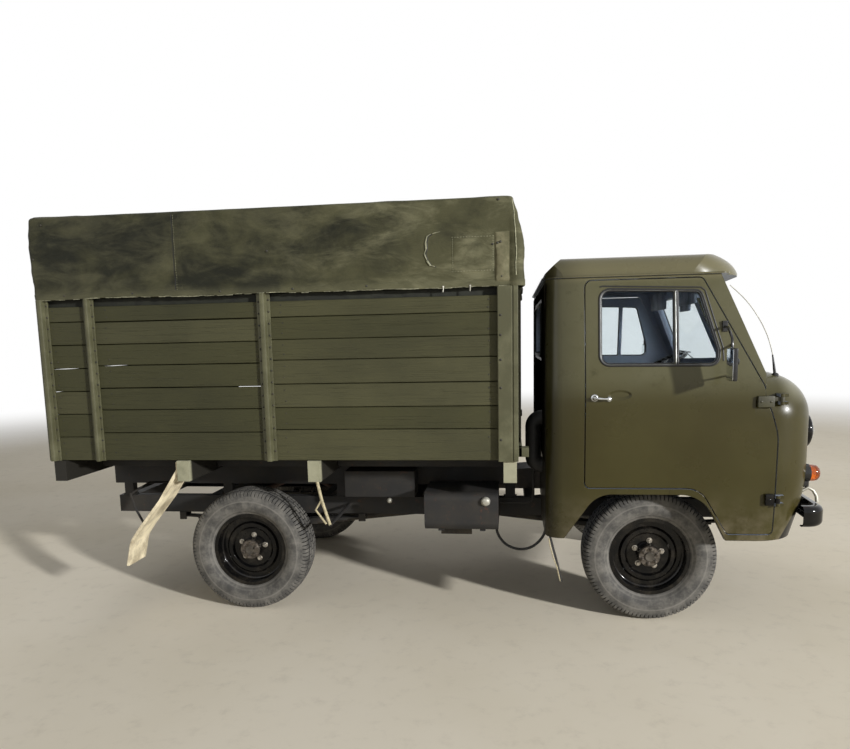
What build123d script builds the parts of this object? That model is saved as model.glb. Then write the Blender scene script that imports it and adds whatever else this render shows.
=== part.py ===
"""Light military cargo truck: forward-control cab, planked cargo body, tarpaulin.

Millimetres, +X ahead, +Y to the truck's left, +Z up, ground at zero. Lengths along x in the names
and tables below are measured ahead of the front axle, and heights are measured from the ground.
"""

from build123d import *
import os
from math import asin, cos, pi, radians, sin, tan

os.makedirs("parts", exist_ok=True)

# Wheels and axles
wheelbase = 2300.0
track = 1442.0
tyre_radius = 362.0
tyre_width = 226.0
bead_radius = 203.0
rim_width = 150.0
rim_flange_height = 18.0
rim_sheet = 5.0
disc_plate = 8.0
disc_offset = 22.0
disc_ring_radius = 137.0
disc_ring_width = 45.0
disc_ring_rise = 12.0
hub_radius = 62.0
hub_reach = 74.0
drum_radius = 145.0
drum_depth = 45.0
back_plate = 15.0
back_plate_gap = 2.0
spindle_radius = 25.0
spindle_reach = 19.0
running_gap = 0.05
kingpin_inset = 121.0
kingpin_radius = 14.0
knuckle_radius = 34.0
knuckle_half_height = 60.0
yoke_plate = 15.0
yoke_reach = 55.0
yoke_ear = 25.0
yoke_half = 30.0
steer_arm = 180.0
steer_arm_half = 13.0
steer_arm_plate = 20.0
steer_arm_drop = 16.0
tie_rod_radius = 12.0
ball_pin_radius = 8.0
axle_tube_radius = 42.0
differential_radius = 120.0
differential_nose = 55.0
differential_reach = 135.0
differential_y = -150.0
propshaft_radius = 25.0

# Frame
rail_bottom_z = 490.0
rail_height = 110.0
rail_width = 60.0
rail_wall = 5.0
rail_centre_y = 385.0
rail_front = 690.0
rail_rear = -3330.0
crossmember_width = 60.0
tow_plate = 8.0
tow_hole_radius = 6.5
tow_spacing_y = 100.0
tow_spacing_z = 60.0
leaf_thickness = 9.0
leaf_width = 55.0
leaf_count = 5
leaf_camber = 18.0
spring_eye_radius = 14.0
spring_pin_radius = 8.0
hanger_plate = 8.0
hanger_half = 22.0
front_spring_half = 520.0
rear_spring_half = 600.0
engine_rear = -440.0
engine_front = 150.0
engine_half_width = 210.0
engine_bottom_z = 510.0
engine_top_z = 1030.0
engine_bearer_rear = -190.0
engine_bearer_front = -110.0
engine_bearer_height = 20.0
gearbox_half_width = 120.0
gearbox_height = 150.0
transfer_front = -950.0
transfer_rear = -1180.0
transfer_bottom_z = 400.0
transfer_top_z = 700.0
tank_rear = -1250.0
tank_front = -830.0
tank_inner_y = 440.0
tank_outer_y = 800.0
tank_bottom_z = 495.0
tank_top_z = 715.0
tank_corner = 45.0
tank_bracket = 8.0
duct_y = -560.0
duct_radius = 46.0
duct_reach = 52.0
duct_bend = 50.0
duct_top_z = 1112.0
duct_bottom_z = 836.0
pipe_radius = 8.0
pipe_z = 607.0
pipe_bend = 45.0
hose_radius = 8.0
hose_y = -600.0

# Cab envelope
cab_half_width = 965.0
cab_bottom_z = 508.0
cab_rear = -575.0
belt_z = 1300.0
drip_z = 1880.0
drip_half_width = 872.0
cab_wall = 45.0
nose_tip = 884.0
nose_foot = 814.0
nose_bulge_radius = 3500.0
nose_corner_radius = 232.0
nose_bend_z = 757.0
nose_bend_radius = 950.0
shoulder_radius = 225.0
cowl_z = 1322.0
cowl_slope = 0.218
nose_block_rear = 470.0
screen_foot = 514.0
screen_foot_z = 1372.0
screen_head = 293.0
screen_vee = 126.0
door_gap = 5.0
door_rear = -370.0
door_top_z = 1862.0
door_sill_z = 785.0
arch_top_z = 749.0
cab_split = 60.0
rail_clearance = 12.0
roof_crown_z = 2025.0
roof_wall = 30.0
floor_plate = 18.0
arch_floor_z = 780.0
foot_floor_z = 620.0
bulkhead_top = 345.0
bulkhead_foot = 445.0
glass = 6.0
glass_depth = 18.0
roof_rear = -575.0
roof_front = 530.0
brim_bow = 92.0
brim_corner = 330.0
brim_lip = 12.0
roof_corner = 110.0
roof_side_radius = 95.0
drip_rail = 14.0
drip_rail_height = 9.0
grille_low_z = 776.0
grille_pitch = 34.0
grille_count = 8
grille_width = 560.0
grille_slot = 16.0
lamp_y = 560.0
lamp_z = 1035.0
lamp_radius = 88.0
lamp_seat = 0.3
lamp_bezel_depth = 24.0
lamp_dome_height = 30.0
lamp_seat_inset = 30.0
turn_lamp_inset = 175.0
turn_lamp_z = 835.0
turn_lamp_radius = 44.0
turn_lamp_tip = 858.0
bumper_tip = 922.0
bumper_inset = 35.0
bumper_bottom_z = 570.0
bumper_height = 110.0
bumper_plate = 6.0
bumper_flange = 45.0
bumper_end = 740.0
bumper_end_front = 858.0
bumper_end_radius = 95.0
bumper_edge_radius = 30.0
bumper_face_radius = 4000.0
bracket_width = 40.0
bracket_height = 20.0
bracket_slot_gap = 8.0
bracket_rear = 640.0
tunnel_half = 300.0
cover_wall = 15.0
cover_rear = -480.0
cover_front = 500.0
hinge_x = 588.0
hinge_reach = 17.0
hinge_pin_radius = 6.0
hinge_barrel_radius = 12.0
hinge_barrel_height = 24.0
hinge_heights = (1245.0, 726.0)
hinge_arm_length = 88.0
hinge_arm_width = 22.0
hinge_arm_foot = 5.0
hinge_arm_plate = 10.0
hinge_lug_height = 15.0
hinge_lug_gap = 0.5
handle_rear = -341.0
handle_length = 100.0
handle_z = 1259.0
handle_half = 8.0
handle_boss = 26.0
handle_boss_reach = 20.0
handle_thickness = 13.0
dish_x = -198.0
dish_z = 1273.0
dish_half_length = 60.0
dish_half_height = 28.0
dish_depth = 8.0
dish_slope = 13.0
mirror_x = 305.0
mirror_thickness = 18.0
mirror_low_z = 1347.0
mirror_high_z = 1506.0
mirror_half_width = 55.0
mirror_reach = 130.0
mirror_arm_radius = 7.0
mirror_arm_z = 1580.0
mirror_arm_drop = 20.0
mirror_arm_bend = 30.0
mirror_arm_lean = 13.0
seat_y = 590.0
seat_half_width = 225.0
seat_front = 170.0
seat_rear = -330.0
cushion_bottom_z = 850.0
cushion_thickness = 110.0
backrest_top_z = 1395.0
steering_wheel_x = 290.0
steering_wheel_y = 430.0
steering_wheel_z = 1365.0
steering_wheel_radius = 205.0
steering_column_lean = 27.0
belt_radius = 500.0
rear_corner_radius = 85.0

# Load body
bed_front = -718.0
bed_rear = -3390.0
bed_half_width = 1000.0
bed_floor_z = 933.0
bed_floor_thickness = 27.0
board_thickness = 25.0
board_count = 7
board_gap = 4.0
side_top_z = 1840.0
post_depth = 20.0
beam_height = 117.0
beam_width = 70.0
sill_height = 135.0
sill_width = 50.0
sill_flange_width = 80.0
sill_flange = 10.0
bed_foot_length = 60.0
wall_foot_reach = 54.0
gate_gap = 5.0
gate_hinge_drop = 8.0
gate_hinge_y = 620.0
gate_hinge_length = 60.0
gate_lug = 15.0
bow_width = 40.0
bow_depth = 28.0
bow_count = 5
batten_width = 45.0
batten_depth = 22.0
tarp_top_z = 2285.0
tarp_half_width = 1012.0
tarp_front = -736.0
tarp_rear = -3387.0
tarp_thickness = 8.0
tarp_bottom_z = 1843.0
tarp_side_radius = 45.0
tarp_top_radius = 60.0
soft_gap = 0.3
flap_thickness = 8.0
rear_flap_inner_y = 800.0
rear_flap_outer_y = 985.0
front_flap_inner_y = 640.0
front_flap_inset = 25.0
front_flap_bottom_z = 258.0
front_flap_sweep = 70.0
tail_lamp_y = 860.0
tail_lamp_radius = 42.0
tail_lamp_depth = 30.0
wall_post_half = 30.0
wall_post_pitch = 620.0
wall_rail_height = 50.0
wall_rail_lap = 5.0
wall_foot_width = 60.0

# Places worked out from the sizes above
front_axle_x = -(bumper_tip + bed_rear) / 2
rail_top_z = rail_bottom_z + rail_height
rail_inner_y = rail_centre_y - rail_width / 2
rail_outer_y = rail_centre_y + rail_width / 2
kingpin_y = track / 2 - kingpin_inset
yoke_inner_y = kingpin_y - yoke_reach
leaf_seat_z = tyre_radius + axle_tube_radius
bracket_y = rail_outer_y - rail_wall - bracket_width
bracket_z = rail_top_z - rail_wall - bracket_height
spring_eye_z = leaf_seat_z + leaf_count * leaf_thickness + leaf_camber - leaf_thickness / 2
bed_floor_top_z = bed_floor_z + bed_floor_thickness
bumper_half_length = cab_half_width - bumper_inset
turn_lamp_y = cab_half_width - turn_lamp_inset
front_flap_outer_y = cab_half_width - front_flap_inset
hinge_y = cab_half_width + hinge_reach
mirror_y = cab_half_width + mirror_reach
beam_bottom_z = bed_floor_z - beam_height
sill_bottom_z = beam_bottom_z - sill_height
board_pitch = (side_top_z - bed_floor_z + board_gap) / board_count
side_inner_y = bed_half_width - board_thickness


def side(y=0.0):
    """Side-view plane: local x ahead of the front axle, local y up, extrusions to the right."""
    return Plane((front_axle_x, y, 0), x_dir=(1, 0, 0), z_dir=(0, -1, 0))


def level(z=0.0):
    """Plan-view plane: local x ahead of the front axle, local y to the left, extrusions up."""
    return Plane((front_axle_x, 0, z), x_dir=(1, 0, 0), z_dir=(0, 0, 1))


def station(x=0.0):
    """Front-view plane: local x to the left, local y up, extrusions ahead."""
    return Plane((front_axle_x + x, 0, 0), x_dir=(0, 1, 0), z_dir=(1, 0, 0))


def outline(rows, mode=Mode.ADD):
    """A face inside rows of (x, y, corner radius), for use in a sketch."""
    with BuildLine() as line:
        FilletPolyline(*[row[:2] for row in rows], radius=[row[2] for row in rows], close=True)
    return make_face(line.edges(), mode=mode)


def rectangle(x_low, x_high, y_low, y_high, mode=Mode.ADD):
    """An upright rectangle between two corners, for use in a sketch."""
    with Locations(((x_low + x_high) / 2, (y_low + y_high) / 2)):
        return Rectangle(x_high - x_low, y_high - y_low, mode=mode)


def save(piece, name):
    """Label a finished piece and write it as one file."""
    piece.part.label = name
    export_step(piece.part, "parts/" + name + ".step")


# Cab outline
def section_prism(inset):
    """The cabin's cross-section, upright below the belt and leaning in above it, run along x."""
    low_half = cab_half_width - inset
    top_half = drip_half_width - inset
    with BuildPart() as prism:
        with BuildSketch(station(cab_rear - 100)):
            outline(
                [
                    (-low_half, 0, 0),
                    (low_half, 0, 0),
                    (low_half, belt_z, belt_radius),
                    (top_half, drip_z, 0),
                    (-top_half, drip_z, 0),
                    (-low_half, belt_z, belt_radius),
                ]
            )
        extrude(amount=nose_tip - cab_rear + 200)
    return prism.part


def nose_form(inset):
    """The nose: a side profile turned about an upright axis far behind it, then rounded."""
    axis_x = nose_tip - nose_bulge_radius
    front = nose_tip - inset
    cowl_front_z = cowl_z - inset
    cowl_rear_z = cowl_front_z + cowl_slope * (front - nose_block_rear)
    low_half = cab_half_width - inset
    with BuildPart() as nose:
        with BuildSketch(side()):
            outline(
                [
                    (axis_x, cab_bottom_z, 0),
                    (nose_foot - inset, cab_bottom_z, 0),
                    (front, nose_bend_z, nose_bend_radius),
                    (front, cowl_front_z, 0),
                    (nose_block_rear, cowl_rear_z, 0),
                    (axis_x, cowl_rear_z, 0),
                ]
            )
        revolve(axis=Axis((front_axle_x + axis_x, 0, 0), (0, 0, 1)))
        with BuildSketch(level()):
            rectangle(nose_block_rear, nose_tip + 100, -low_half, low_half)
        extrude(amount=drip_z, mode=Mode.INTERSECT)
        corners = edges().filter_by(
            lambda edge: abs(abs(edge.center().Y) - low_half) < 1
            and edge.center().X > front_axle_x + nose_block_rear + 80
            and cab_bottom_z + 1 < edge.center().Z < cowl_front_z - 20
        )
        fillet(corners, nose_corner_radius - inset)
        shoulder = edges().filter_by(
            lambda edge: edge.center().Z > cowl_front_z - 30
            and edge.center().X > front_axle_x + nose_block_rear + 1
        )
        fillet(shoulder, shoulder_radius - inset)
    return nose.part


def screen_plan(z, inset):
    """Plan outline of the upper cab at height z, with the windscreen's shallow vee."""
    lean = (screen_foot - screen_head) / (drip_z - screen_foot_z)
    corner = screen_foot - inset - lean * (z - screen_foot_z)
    wide = cab_half_width + 20
    return [
        (cab_rear + inset, -wide, 0),
        (corner, -wide, 0),
        (corner + screen_vee, 0, 0),
        (corner, wide, 0),
        (cab_rear + inset, wide, 0),
    ]


def cabin_form(inset, section):
    """The cabin behind the nose, from the sill to the drip rail."""
    with BuildPart() as cabin:
        with BuildSketch(level(screen_foot_z)):
            outline(screen_plan(screen_foot_z, inset))
        with BuildSketch(level(drip_z)):
            outline(screen_plan(drip_z, inset))
        loft(ruled=True)
        with BuildSketch(level(belt_z - 60)):
            outline(screen_plan(screen_foot_z, inset))
        extrude(amount=screen_foot_z - belt_z + 60)
        with BuildSketch(level(cab_bottom_z)):
            rectangle(cab_rear + inset, nose_block_rear, -cab_half_width - 20, cab_half_width + 20)
        extrude(amount=screen_foot_z - cab_bottom_z)
        add(section, mode=Mode.INTERSECT)
        rear_corners = edges().filter_by(
            lambda edge: abs(edge.center().X - front_axle_x - cab_rear - inset) < 1
            and abs(edge.center().Y) > drip_half_width - inset - 20
        )
        fillet(rear_corners, rear_corner_radius - inset)
    return cabin.part


def cab_form(inset, section):
    """Outside of the cab below the drip rail, or its inside when inset by the wall."""
    cabin = cabin_form(inset, section)
    nose = nose_form(inset)
    with BuildPart() as form:
        add(cabin)
        add(nose)
    return form.part


# Door, window and arch outlines in side view, as rows of (x, z, corner radius)
door_outline = [
    (door_rear, door_sill_z, 25),
    (215, door_sill_z, 120),
    (352, 545, 25),
    (577, 545, 20),
    (582, 1060, 300),
    (508, 1310, 40),
    (216, door_top_z, 30),
    (door_rear, door_top_z, 35),
]
main_window = [(-292, 1430, 45), (76, 1427, 10), (76, 1799, 10), (-290, 1812, 45)]
vent_window = [(94, 1427, 10), (286, 1424, 40), (288, 1500, 30), (203, 1792, 30), (94, 1798, 10)]
arch_outline = [(-511, 460, 0), (-308, arch_top_z, 148), (227, arch_top_z, 183), (371, 460, 0)]
screen_pane = [(48, 1425, 35), (795, 1400, 45), (735, 1818, 45), (48, 1835, 35)]
rear_pane = [(-430, 1470, 60), (430, 1470, 60), (430, 1770, 60), (-430, 1770, 60)]

outer_section = section_prism(0)
inner_section = section_prism(cab_wall)
outer_form = cab_form(0, outer_section)
inner_form = cab_form(cab_wall, inner_section)


def across(rows, inner_y, outer_y, sides=(-1, 1), grow=0.0):
    """Side-view outline run from inner_y to outer_y on the sides asked for."""
    with BuildPart() as slab:
        for sign in sides:
            with BuildSketch(side(sign * inner_y)):
                outline(rows)
                if grow:
                    offset(amount=grow, kind=Kind.INTERSECTION)
            extrude(amount=-sign * (outer_y - inner_y))
    return slab.part


def along(rows, x_low, x_high, mirrored=False):
    """Front-view outline run from x_low to x_high, and its mirror image if asked for."""
    with BuildPart() as slab:
        with BuildSketch(station(x_low)):
            outline(rows)
        extrude(amount=x_high - x_low)
        if mirrored:
            mirror(about=Plane.XZ)
    return slab.part


door_reach = cab_half_width + 40
door_depth = cab_half_width - 260
door_cut = across(door_outline, door_depth, door_reach, grow=door_gap)
arch_cut = across(arch_outline, cab_half_width - 400, door_reach)
screen_cut = along(screen_pane, 60, 760, mirrored=True)
rear_cut = along(rear_pane, cab_rear - 40, cab_rear + cab_wall + 40)

# Cab shell without its doors, split at one station into front and back panels
with BuildPart() as cab_shell:
    add(outer_form)
    add(inner_form, mode=Mode.SUBTRACT)
    add(door_cut, mode=Mode.SUBTRACT)
    add(arch_cut, mode=Mode.SUBTRACT)
    add(screen_cut, mode=Mode.SUBTRACT)
    add(rear_cut, mode=Mode.SUBTRACT)


panels = [
    # name, its rear and front ends
    ("cab_front", cab_split, nose_tip + 200),
    ("cab_back", cab_rear - 200, cab_split),
]
for name, x_low, x_high in panels:
    with BuildPart() as panel:
        add(cab_shell.part)
        with BuildSketch(station(x_low)):
            rectangle(-door_reach - 50, door_reach + 50, 0, drip_z + 50)
        extrude(amount=x_high - x_low, mode=Mode.INTERSECT)
        if name == "cab_front":
            with BuildSketch(station(nose_tip - 250)):
                for row in range(grille_count):
                    with Locations((0, grille_low_z + row * grille_pitch)):
                        SlotOverall(grille_width, grille_slot)
            extrude(amount=400, mode=Mode.SUBTRACT)
            with BuildSketch(station(nose_tip - 250)):
                with Locations((-lamp_y, lamp_z), (lamp_y, lamp_z)):
                    Circle(lamp_radius + lamp_seat)
                for sign in (-1, 1):
                    slot_inner_y = sign * (bracket_y - bracket_slot_gap)
                    slot_outer_y = sign * (rail_outer_y + bracket_slot_gap)
                    rectangle(
                        *sorted((slot_inner_y, slot_outer_y)),
                        bracket_z - bracket_slot_gap,
                        rail_top_z + bracket_slot_gap,
                    )
            extrude(amount=400, mode=Mode.SUBTRACT)
        else:
            # The rear wall stands over the rails and the gearbox
            rails_half = rail_outer_y + rail_clearance
            tunnel_inner_half = tunnel_half - cover_wall
            with BuildSketch(station(cab_rear - 10)):
                rectangle(-rails_half, rails_half, 0, rail_top_z + rail_clearance)
                rectangle(-tunnel_inner_half, tunnel_inner_half, 0, arch_floor_z - floor_plate)
            extrude(amount=cab_wall + 20, mode=Mode.SUBTRACT)
    save(panel, name)


# Roof: domed across, its brim reaching past the windscreen, with a drip rail round its foot
# The brim's fall from the crown, as (height above the drip line, distance behind the lip)
brim_fall = [(brim_lip, 0.0), (45.0, 18.0), (75.0, 48.0), (105.0, 98.0), (130.0, 170.0), (170.0, 330.0)]


def roof_plan(inset, setback):
    """Plan outline of the roof, its front end set back from the brim's lip."""
    half = drip_half_width - inset
    front = roof_front - inset - setback
    return [
        (roof_rear + inset, -half, roof_corner - inset),
        (front - brim_bow, -half, brim_corner),
        (front, 0, 3000),
        (front - brim_bow, half, brim_corner),
        (roof_rear + inset, half, roof_corner - inset),
    ]


def roof_form(inset):
    """Outside of the roof, or its inside when inset by the roof's wall."""
    half = drip_half_width - inset
    crown = roof_crown_z - inset
    with BuildPart() as envelope:
        for height, setback in brim_fall:
            with BuildSketch(level(drip_z + height)):
                outline(roof_plan(inset, setback))
        loft()
        with BuildSketch(level(drip_z)):
            outline(roof_plan(inset, 0))
        extrude(amount=brim_lip)
    with BuildPart() as roof:
        with BuildSketch(station(roof_rear - 50)):
            outline(
                [
                    (-half, drip_z, 0),
                    (half, drip_z, 0),
                    (half - 12, crown - 42, roof_side_radius - inset),
                    (0, crown + 9, 4000),
                    (12 - half, crown - 42, roof_side_radius - inset),
                ]
            )
        extrude(amount=roof_front - roof_rear + 100)
        with BuildSketch(side(drip_half_width + 50)):
            outline(
                [
                    (roof_rear + inset, drip_z, 0),
                    (roof_rear + inset, drip_z + 30, 10),
                    (roof_rear + 110, crown - 16, 100),
                    (-100, crown + 2, 3000),
                    (roof_front - inset, crown - 34, 0),
                    (roof_front - inset, drip_z, 0),
                ]
            )
        extrude(amount=2 * drip_half_width + 100, mode=Mode.INTERSECT)
        add(envelope.part, mode=Mode.INTERSECT)
    return roof.part


roof_outer = roof_form(0)
roof_inner = roof_form(roof_wall)
with BuildPart() as roof_cavity:
    add(roof_inner)
    with BuildSketch(level(drip_z)):
        outline(screen_plan(drip_z, cab_wall))
    extrude(amount=roof_crown_z - drip_z, mode=Mode.INTERSECT)
with BuildPart() as cab_roof:
    add(roof_outer)
    with BuildSketch(level(drip_z)):
        outline(
            [
                (roof_rear - drip_rail, -drip_half_width - drip_rail, roof_corner),
                (screen_head + 60, -drip_half_width - drip_rail, 40),
                (screen_head + 60, drip_half_width + drip_rail, 40),
                (roof_rear - drip_rail, drip_half_width + drip_rail, roof_corner),
            ]
        )
    extrude(amount=drip_rail_height)
    add(roof_cavity.part, mode=Mode.SUBTRACT)
save(cab_roof, "cab_roof")

# Window glass, set in the middle of the walls that hold it
outer_glass_section = section_prism(glass_depth)
inner_glass_section = section_prism(glass_depth + glass)
def pane_slab(depth):
    """Space behind the windscreen plane at a depth below its outer face."""
    with BuildPart() as slab:
        with BuildSketch(level(screen_foot_z - 40)):
            outline(screen_plan(screen_foot_z - 40, depth))
        with BuildSketch(level(drip_z)):
            outline(screen_plan(drip_z, depth))
        loft(ruled=True)
    return slab.part


front_slab = pane_slab(glass_depth)
behind_slab = pane_slab(glass_depth + glass)
with BuildPart() as windscreen:
    add(screen_cut)
    add(front_slab, mode=Mode.INTERSECT)
    add(behind_slab, mode=Mode.SUBTRACT)
with BuildPart() as cab_glass:
    add(windscreen.part)
    with BuildSketch(station(cab_rear + glass_depth)):
        outline(rear_pane)
    extrude(amount=glass)
save(cab_glass, "cab_glass")

# Doors, each with its window frame and vent bar, its glass and its fittings
door_side = across(door_outline, door_depth, door_reach)
skin = cab_half_width
dishes = []
for sign in (-1, 1):
    with BuildPart() as dish:
        for y, slope in ((skin + 1, 0.0), (skin - dish_depth, dish_slope)):
            with BuildSketch(side(sign * y)):
                with Locations((dish_x, dish_z)):
                    Ellipse(dish_half_length - slope, dish_half_height - slope)
        loft()
    dishes.append(dish.part)
window_cut = across(main_window, door_depth, door_reach)
vent_cut = across(vent_window, door_depth, door_reach)
with BuildPart() as both_doors:
    add(outer_form)
    add(door_side, mode=Mode.INTERSECT)
    add(inner_section, mode=Mode.SUBTRACT)
    add(window_cut, mode=Mode.SUBTRACT)
    add(vent_cut, mode=Mode.SUBTRACT)
    add(dishes, mode=Mode.SUBTRACT)
with BuildPart() as both_panes:
    add(window_cut)
    add(vent_cut)
    add(outer_glass_section, mode=Mode.INTERSECT)
    add(inner_glass_section, mode=Mode.SUBTRACT)
for word, sign in (("right", -1), ("left", 1)):
    with BuildPart() as door:
        add([solid for solid in both_doors.part.solids() if solid.center().Y * sign > 0])
    save(door, "door_" + word)
    with BuildPart() as panes:
        add([solid for solid in both_panes.part.solids() if solid.center().Y * sign > 0])
    save(panes, "door_glass_" + word)


def box_rows(x_low, x_high, z_low, z_high, radius=0.0):
    """Outline rows of a rectangle."""
    corners = [(x_low, z_low), (x_high, z_low), (x_high, z_high), (x_low, z_high)]
    return [(x, z, radius) for x, z in corners]


hinge_foot_rear = hinge_x - hinge_arm_length
hinge_foot_front = hinge_foot_rear + hinge_arm_width
mirror_centre_z = (mirror_low_z + mirror_high_z) / 2
for word, sign in (("right", -1), ("left", 1)):
    with BuildPart() as mirror_arm:
        with BuildLine() as arm_path:
            FilletPolyline(
                (front_axle_x + mirror_x + mirror_arm_lean, sign * (skin - mirror_reach / 2), mirror_arm_z),
                (front_axle_x + mirror_x, sign * mirror_y, mirror_arm_z - mirror_arm_drop),
                (front_axle_x + mirror_x, sign * mirror_y, mirror_centre_z),
                radius=mirror_arm_bend,
            )
        with BuildSketch(Plane(origin=arm_path.line @ 0, z_dir=arm_path.line % 0)):
            Circle(mirror_arm_radius)
        sweep()
        add(outer_form, mode=Mode.SUBTRACT)
    with BuildPart() as fittings:
        # Handle, standing off the door on its boss
        handle_low_z = handle_z - handle_half
        handle_high_z = handle_z + handle_half
        boss = box_rows(handle_rear, handle_rear + handle_boss, handle_low_z - 4, handle_high_z + 4, 5)
        add(across(boss, skin, skin + handle_boss_reach + 1, (sign,)))
        lever = box_rows(handle_rear, handle_rear + handle_length, handle_low_z, handle_high_z, 6)
        lever_y = skin + handle_boss_reach
        add(across(lever, lever_y, lever_y + handle_thickness, (sign,)))
        # Rear-view mirror on its bent arm
        add(mirror_arm.part)
        mirror_rear = mirror_x - mirror_thickness / 2
        plate = box_rows(mirror_rear, mirror_rear + mirror_thickness, mirror_low_z, mirror_high_z, 8)
        add(across(plate, mirror_y - mirror_half_width, mirror_y + mirror_half_width, (sign,)))
        # Hinge arms with their barrels
        for height in hinge_heights:
            barrel_low_z = height - hinge_barrel_height / 2
            arm_low = barrel_low_z + 1
            arm_high = height + hinge_barrel_height / 2 - 1
            arm_y = skin + hinge_arm_foot
            foot = box_rows(hinge_foot_rear, hinge_foot_front, arm_low, arm_high)
            add(across(foot, skin, arm_y, (sign,)))
            arm = box_rows(hinge_foot_rear, hinge_x, arm_low, arm_high)
            add(across(arm, arm_y, arm_y + hinge_arm_plate, (sign,)))
            with BuildSketch(level(barrel_low_z)):
                with Locations((hinge_x, sign * hinge_y)):
                    Circle(hinge_barrel_radius)
            extrude(amount=hinge_barrel_height)
            with BuildSketch(level(barrel_low_z)):
                with Locations((hinge_x, sign * hinge_y)):
                    Circle(hinge_pin_radius + running_gap)
            extrude(amount=hinge_barrel_height, mode=Mode.SUBTRACT)
    save(fittings, "door_fittings_" + word)

# Fixed hinge lugs with their pins, seated on the nose
with BuildPart() as hinge_lugs:
    for height in hinge_heights:
        for sign in (-1, 1):
            upper_lug_z = height + hinge_barrel_height / 2 + hinge_lug_gap
            lower_lug_z = height - hinge_barrel_height / 2 - hinge_lug_gap - hinge_lug_height
            for low in (upper_lug_z, lower_lug_z):
                with BuildSketch(level(low)):
                    with Locations((hinge_x, sign * hinge_y)):
                        Circle(hinge_barrel_radius)
                    rectangle(hinge_x - 10, hinge_x + 30, *sorted((sign * (skin - 50), sign * hinge_y)))
                extrude(amount=hinge_lug_height)
            with BuildSketch(level(lower_lug_z)):
                with Locations((hinge_x, sign * hinge_y)):
                    Circle(hinge_pin_radius)
            extrude(amount=upper_lug_z + hinge_lug_height - lower_lug_z)
    add(outer_form, mode=Mode.SUBTRACT)
save(hinge_lugs, "door_hinges")

# Cab floor: raised over the wheel arches, stepping down to the foot wells, open in the middle
inner_half = cab_half_width - cab_wall
with BuildPart() as cab_floor:
    with BuildSketch(side(inner_half)):
        outline(
            [
                (cab_rear + cab_wall, arch_floor_z - floor_plate, 0),
                (cab_rear + cab_wall, arch_floor_z, 0),
                (bulkhead_top, arch_floor_z, 30),
                (bulkhead_foot, foot_floor_z, 30),
                (nose_tip, foot_floor_z, 0),
                (nose_tip, foot_floor_z - floor_plate, 0),
                (bulkhead_foot - floor_plate / 2, foot_floor_z - floor_plate, 48),
                (bulkhead_top - floor_plate / 2, arch_floor_z - floor_plate, 12),
            ]
        )
    extrude(amount=2 * inner_half)
    # Clear of the doors ahead of the arches
    for sign in (-1, 1):
        with BuildSketch(level(foot_floor_z - 100)):
            rectangle(cab_split + 150, 600, *sorted((sign * (inner_half - door_gap), sign * door_reach)))
        extrude(amount=400, mode=Mode.SUBTRACT)
    with BuildSketch(level(foot_floor_z - 100)):
        rectangle(
            cover_rear + cover_wall,
            cover_front - cover_wall,
            cover_wall - tunnel_half,
            tunnel_half - cover_wall,
        )
    extrude(amount=400, mode=Mode.SUBTRACT)
    add(inner_form, mode=Mode.INTERSECT)
save(cab_floor, "cab_floor")

# Engine cover, a hollow box standing on the floor round the opening
def cover_rows(inset):
    """Side outline of the engine cover, its foot following the floor."""
    return [
        (cover_rear + inset, arch_floor_z, 0),
        (cover_rear + inset, 1080 - inset, 50 - inset / 2),
        (350, 1060 - inset, 110),
        (cover_front - inset, 900 - inset, 60),
        (cover_front - inset, foot_floor_z, 0),
        (bulkhead_foot, foot_floor_z, 30 if not inset else 0),
        (bulkhead_top, arch_floor_z, 30 if not inset else 0),
    ]


with BuildPart() as engine_cover:
    with BuildSketch(side(tunnel_half)):
        outline(cover_rows(0))
    extrude(amount=2 * tunnel_half)
    with BuildSketch(side(tunnel_half - cover_wall)):
        outline(cover_rows(cover_wall))
    extrude(amount=2 * (tunnel_half - cover_wall), mode=Mode.SUBTRACT)
save(engine_cover, "engine_cover")

# Dashboard, seated against the inside of the nose
with BuildPart() as dashboard:
    with BuildSketch(side(inner_half - door_gap)):
        outline([(605, 1120, 30), (585, 1290, 40), (640, 1345, 0), (nose_tip, 1345, 0), (nose_tip, 1120, 0)])
    extrude(amount=2 * (inner_half - door_gap))
    add(inner_form, mode=Mode.INTERSECT)
save(dashboard, "dashboard")

# Seats: steel frames on the arch floor, cushions and backrests as plain soft solids
with BuildPart() as seat_frames:
    for centre in (-seat_y, seat_y):
        with BuildSketch(level(arch_floor_z)):
            with Locations(((seat_front + seat_rear) / 2, centre)):
                Rectangle(seat_front - seat_rear - 40, 2 * seat_half_width - 60)
                Rectangle(seat_front - seat_rear - 90, 2 * seat_half_width - 110, mode=Mode.SUBTRACT)
        extrude(amount=cushion_bottom_z - arch_floor_z - 12)
        with BuildSketch(level(cushion_bottom_z - 12)):
            with Locations(((seat_front + seat_rear) / 2, centre)):
                Rectangle(seat_front - seat_rear - 10, 2 * seat_half_width - 20)
        extrude(amount=12 - soft_gap)
save(seat_frames, "seat_frames")
with BuildPart() as seat_cushions:
    for centre in (-seat_y, seat_y):
        with BuildSketch(level(cushion_bottom_z)):
            with Locations(((seat_front + seat_rear) / 2, centre)):
                RectangleRounded(seat_front - seat_rear, 2 * seat_half_width, 60)
        extrude(amount=cushion_thickness)
        backrest_low = cushion_bottom_z + cushion_thickness + soft_gap
        with BuildSketch(side(centre + seat_half_width)):
            outline(
                [
                    (seat_rear + 20, backrest_low, 10),
                    (seat_rear + 120, backrest_low, 30),
                    (seat_rear + 20, backrest_top_z, 45),
                    (seat_rear - 80, backrest_top_z, 45),
                ]
            )
        extrude(amount=2 * seat_half_width)
save(seat_cushions, "seats")

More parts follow.
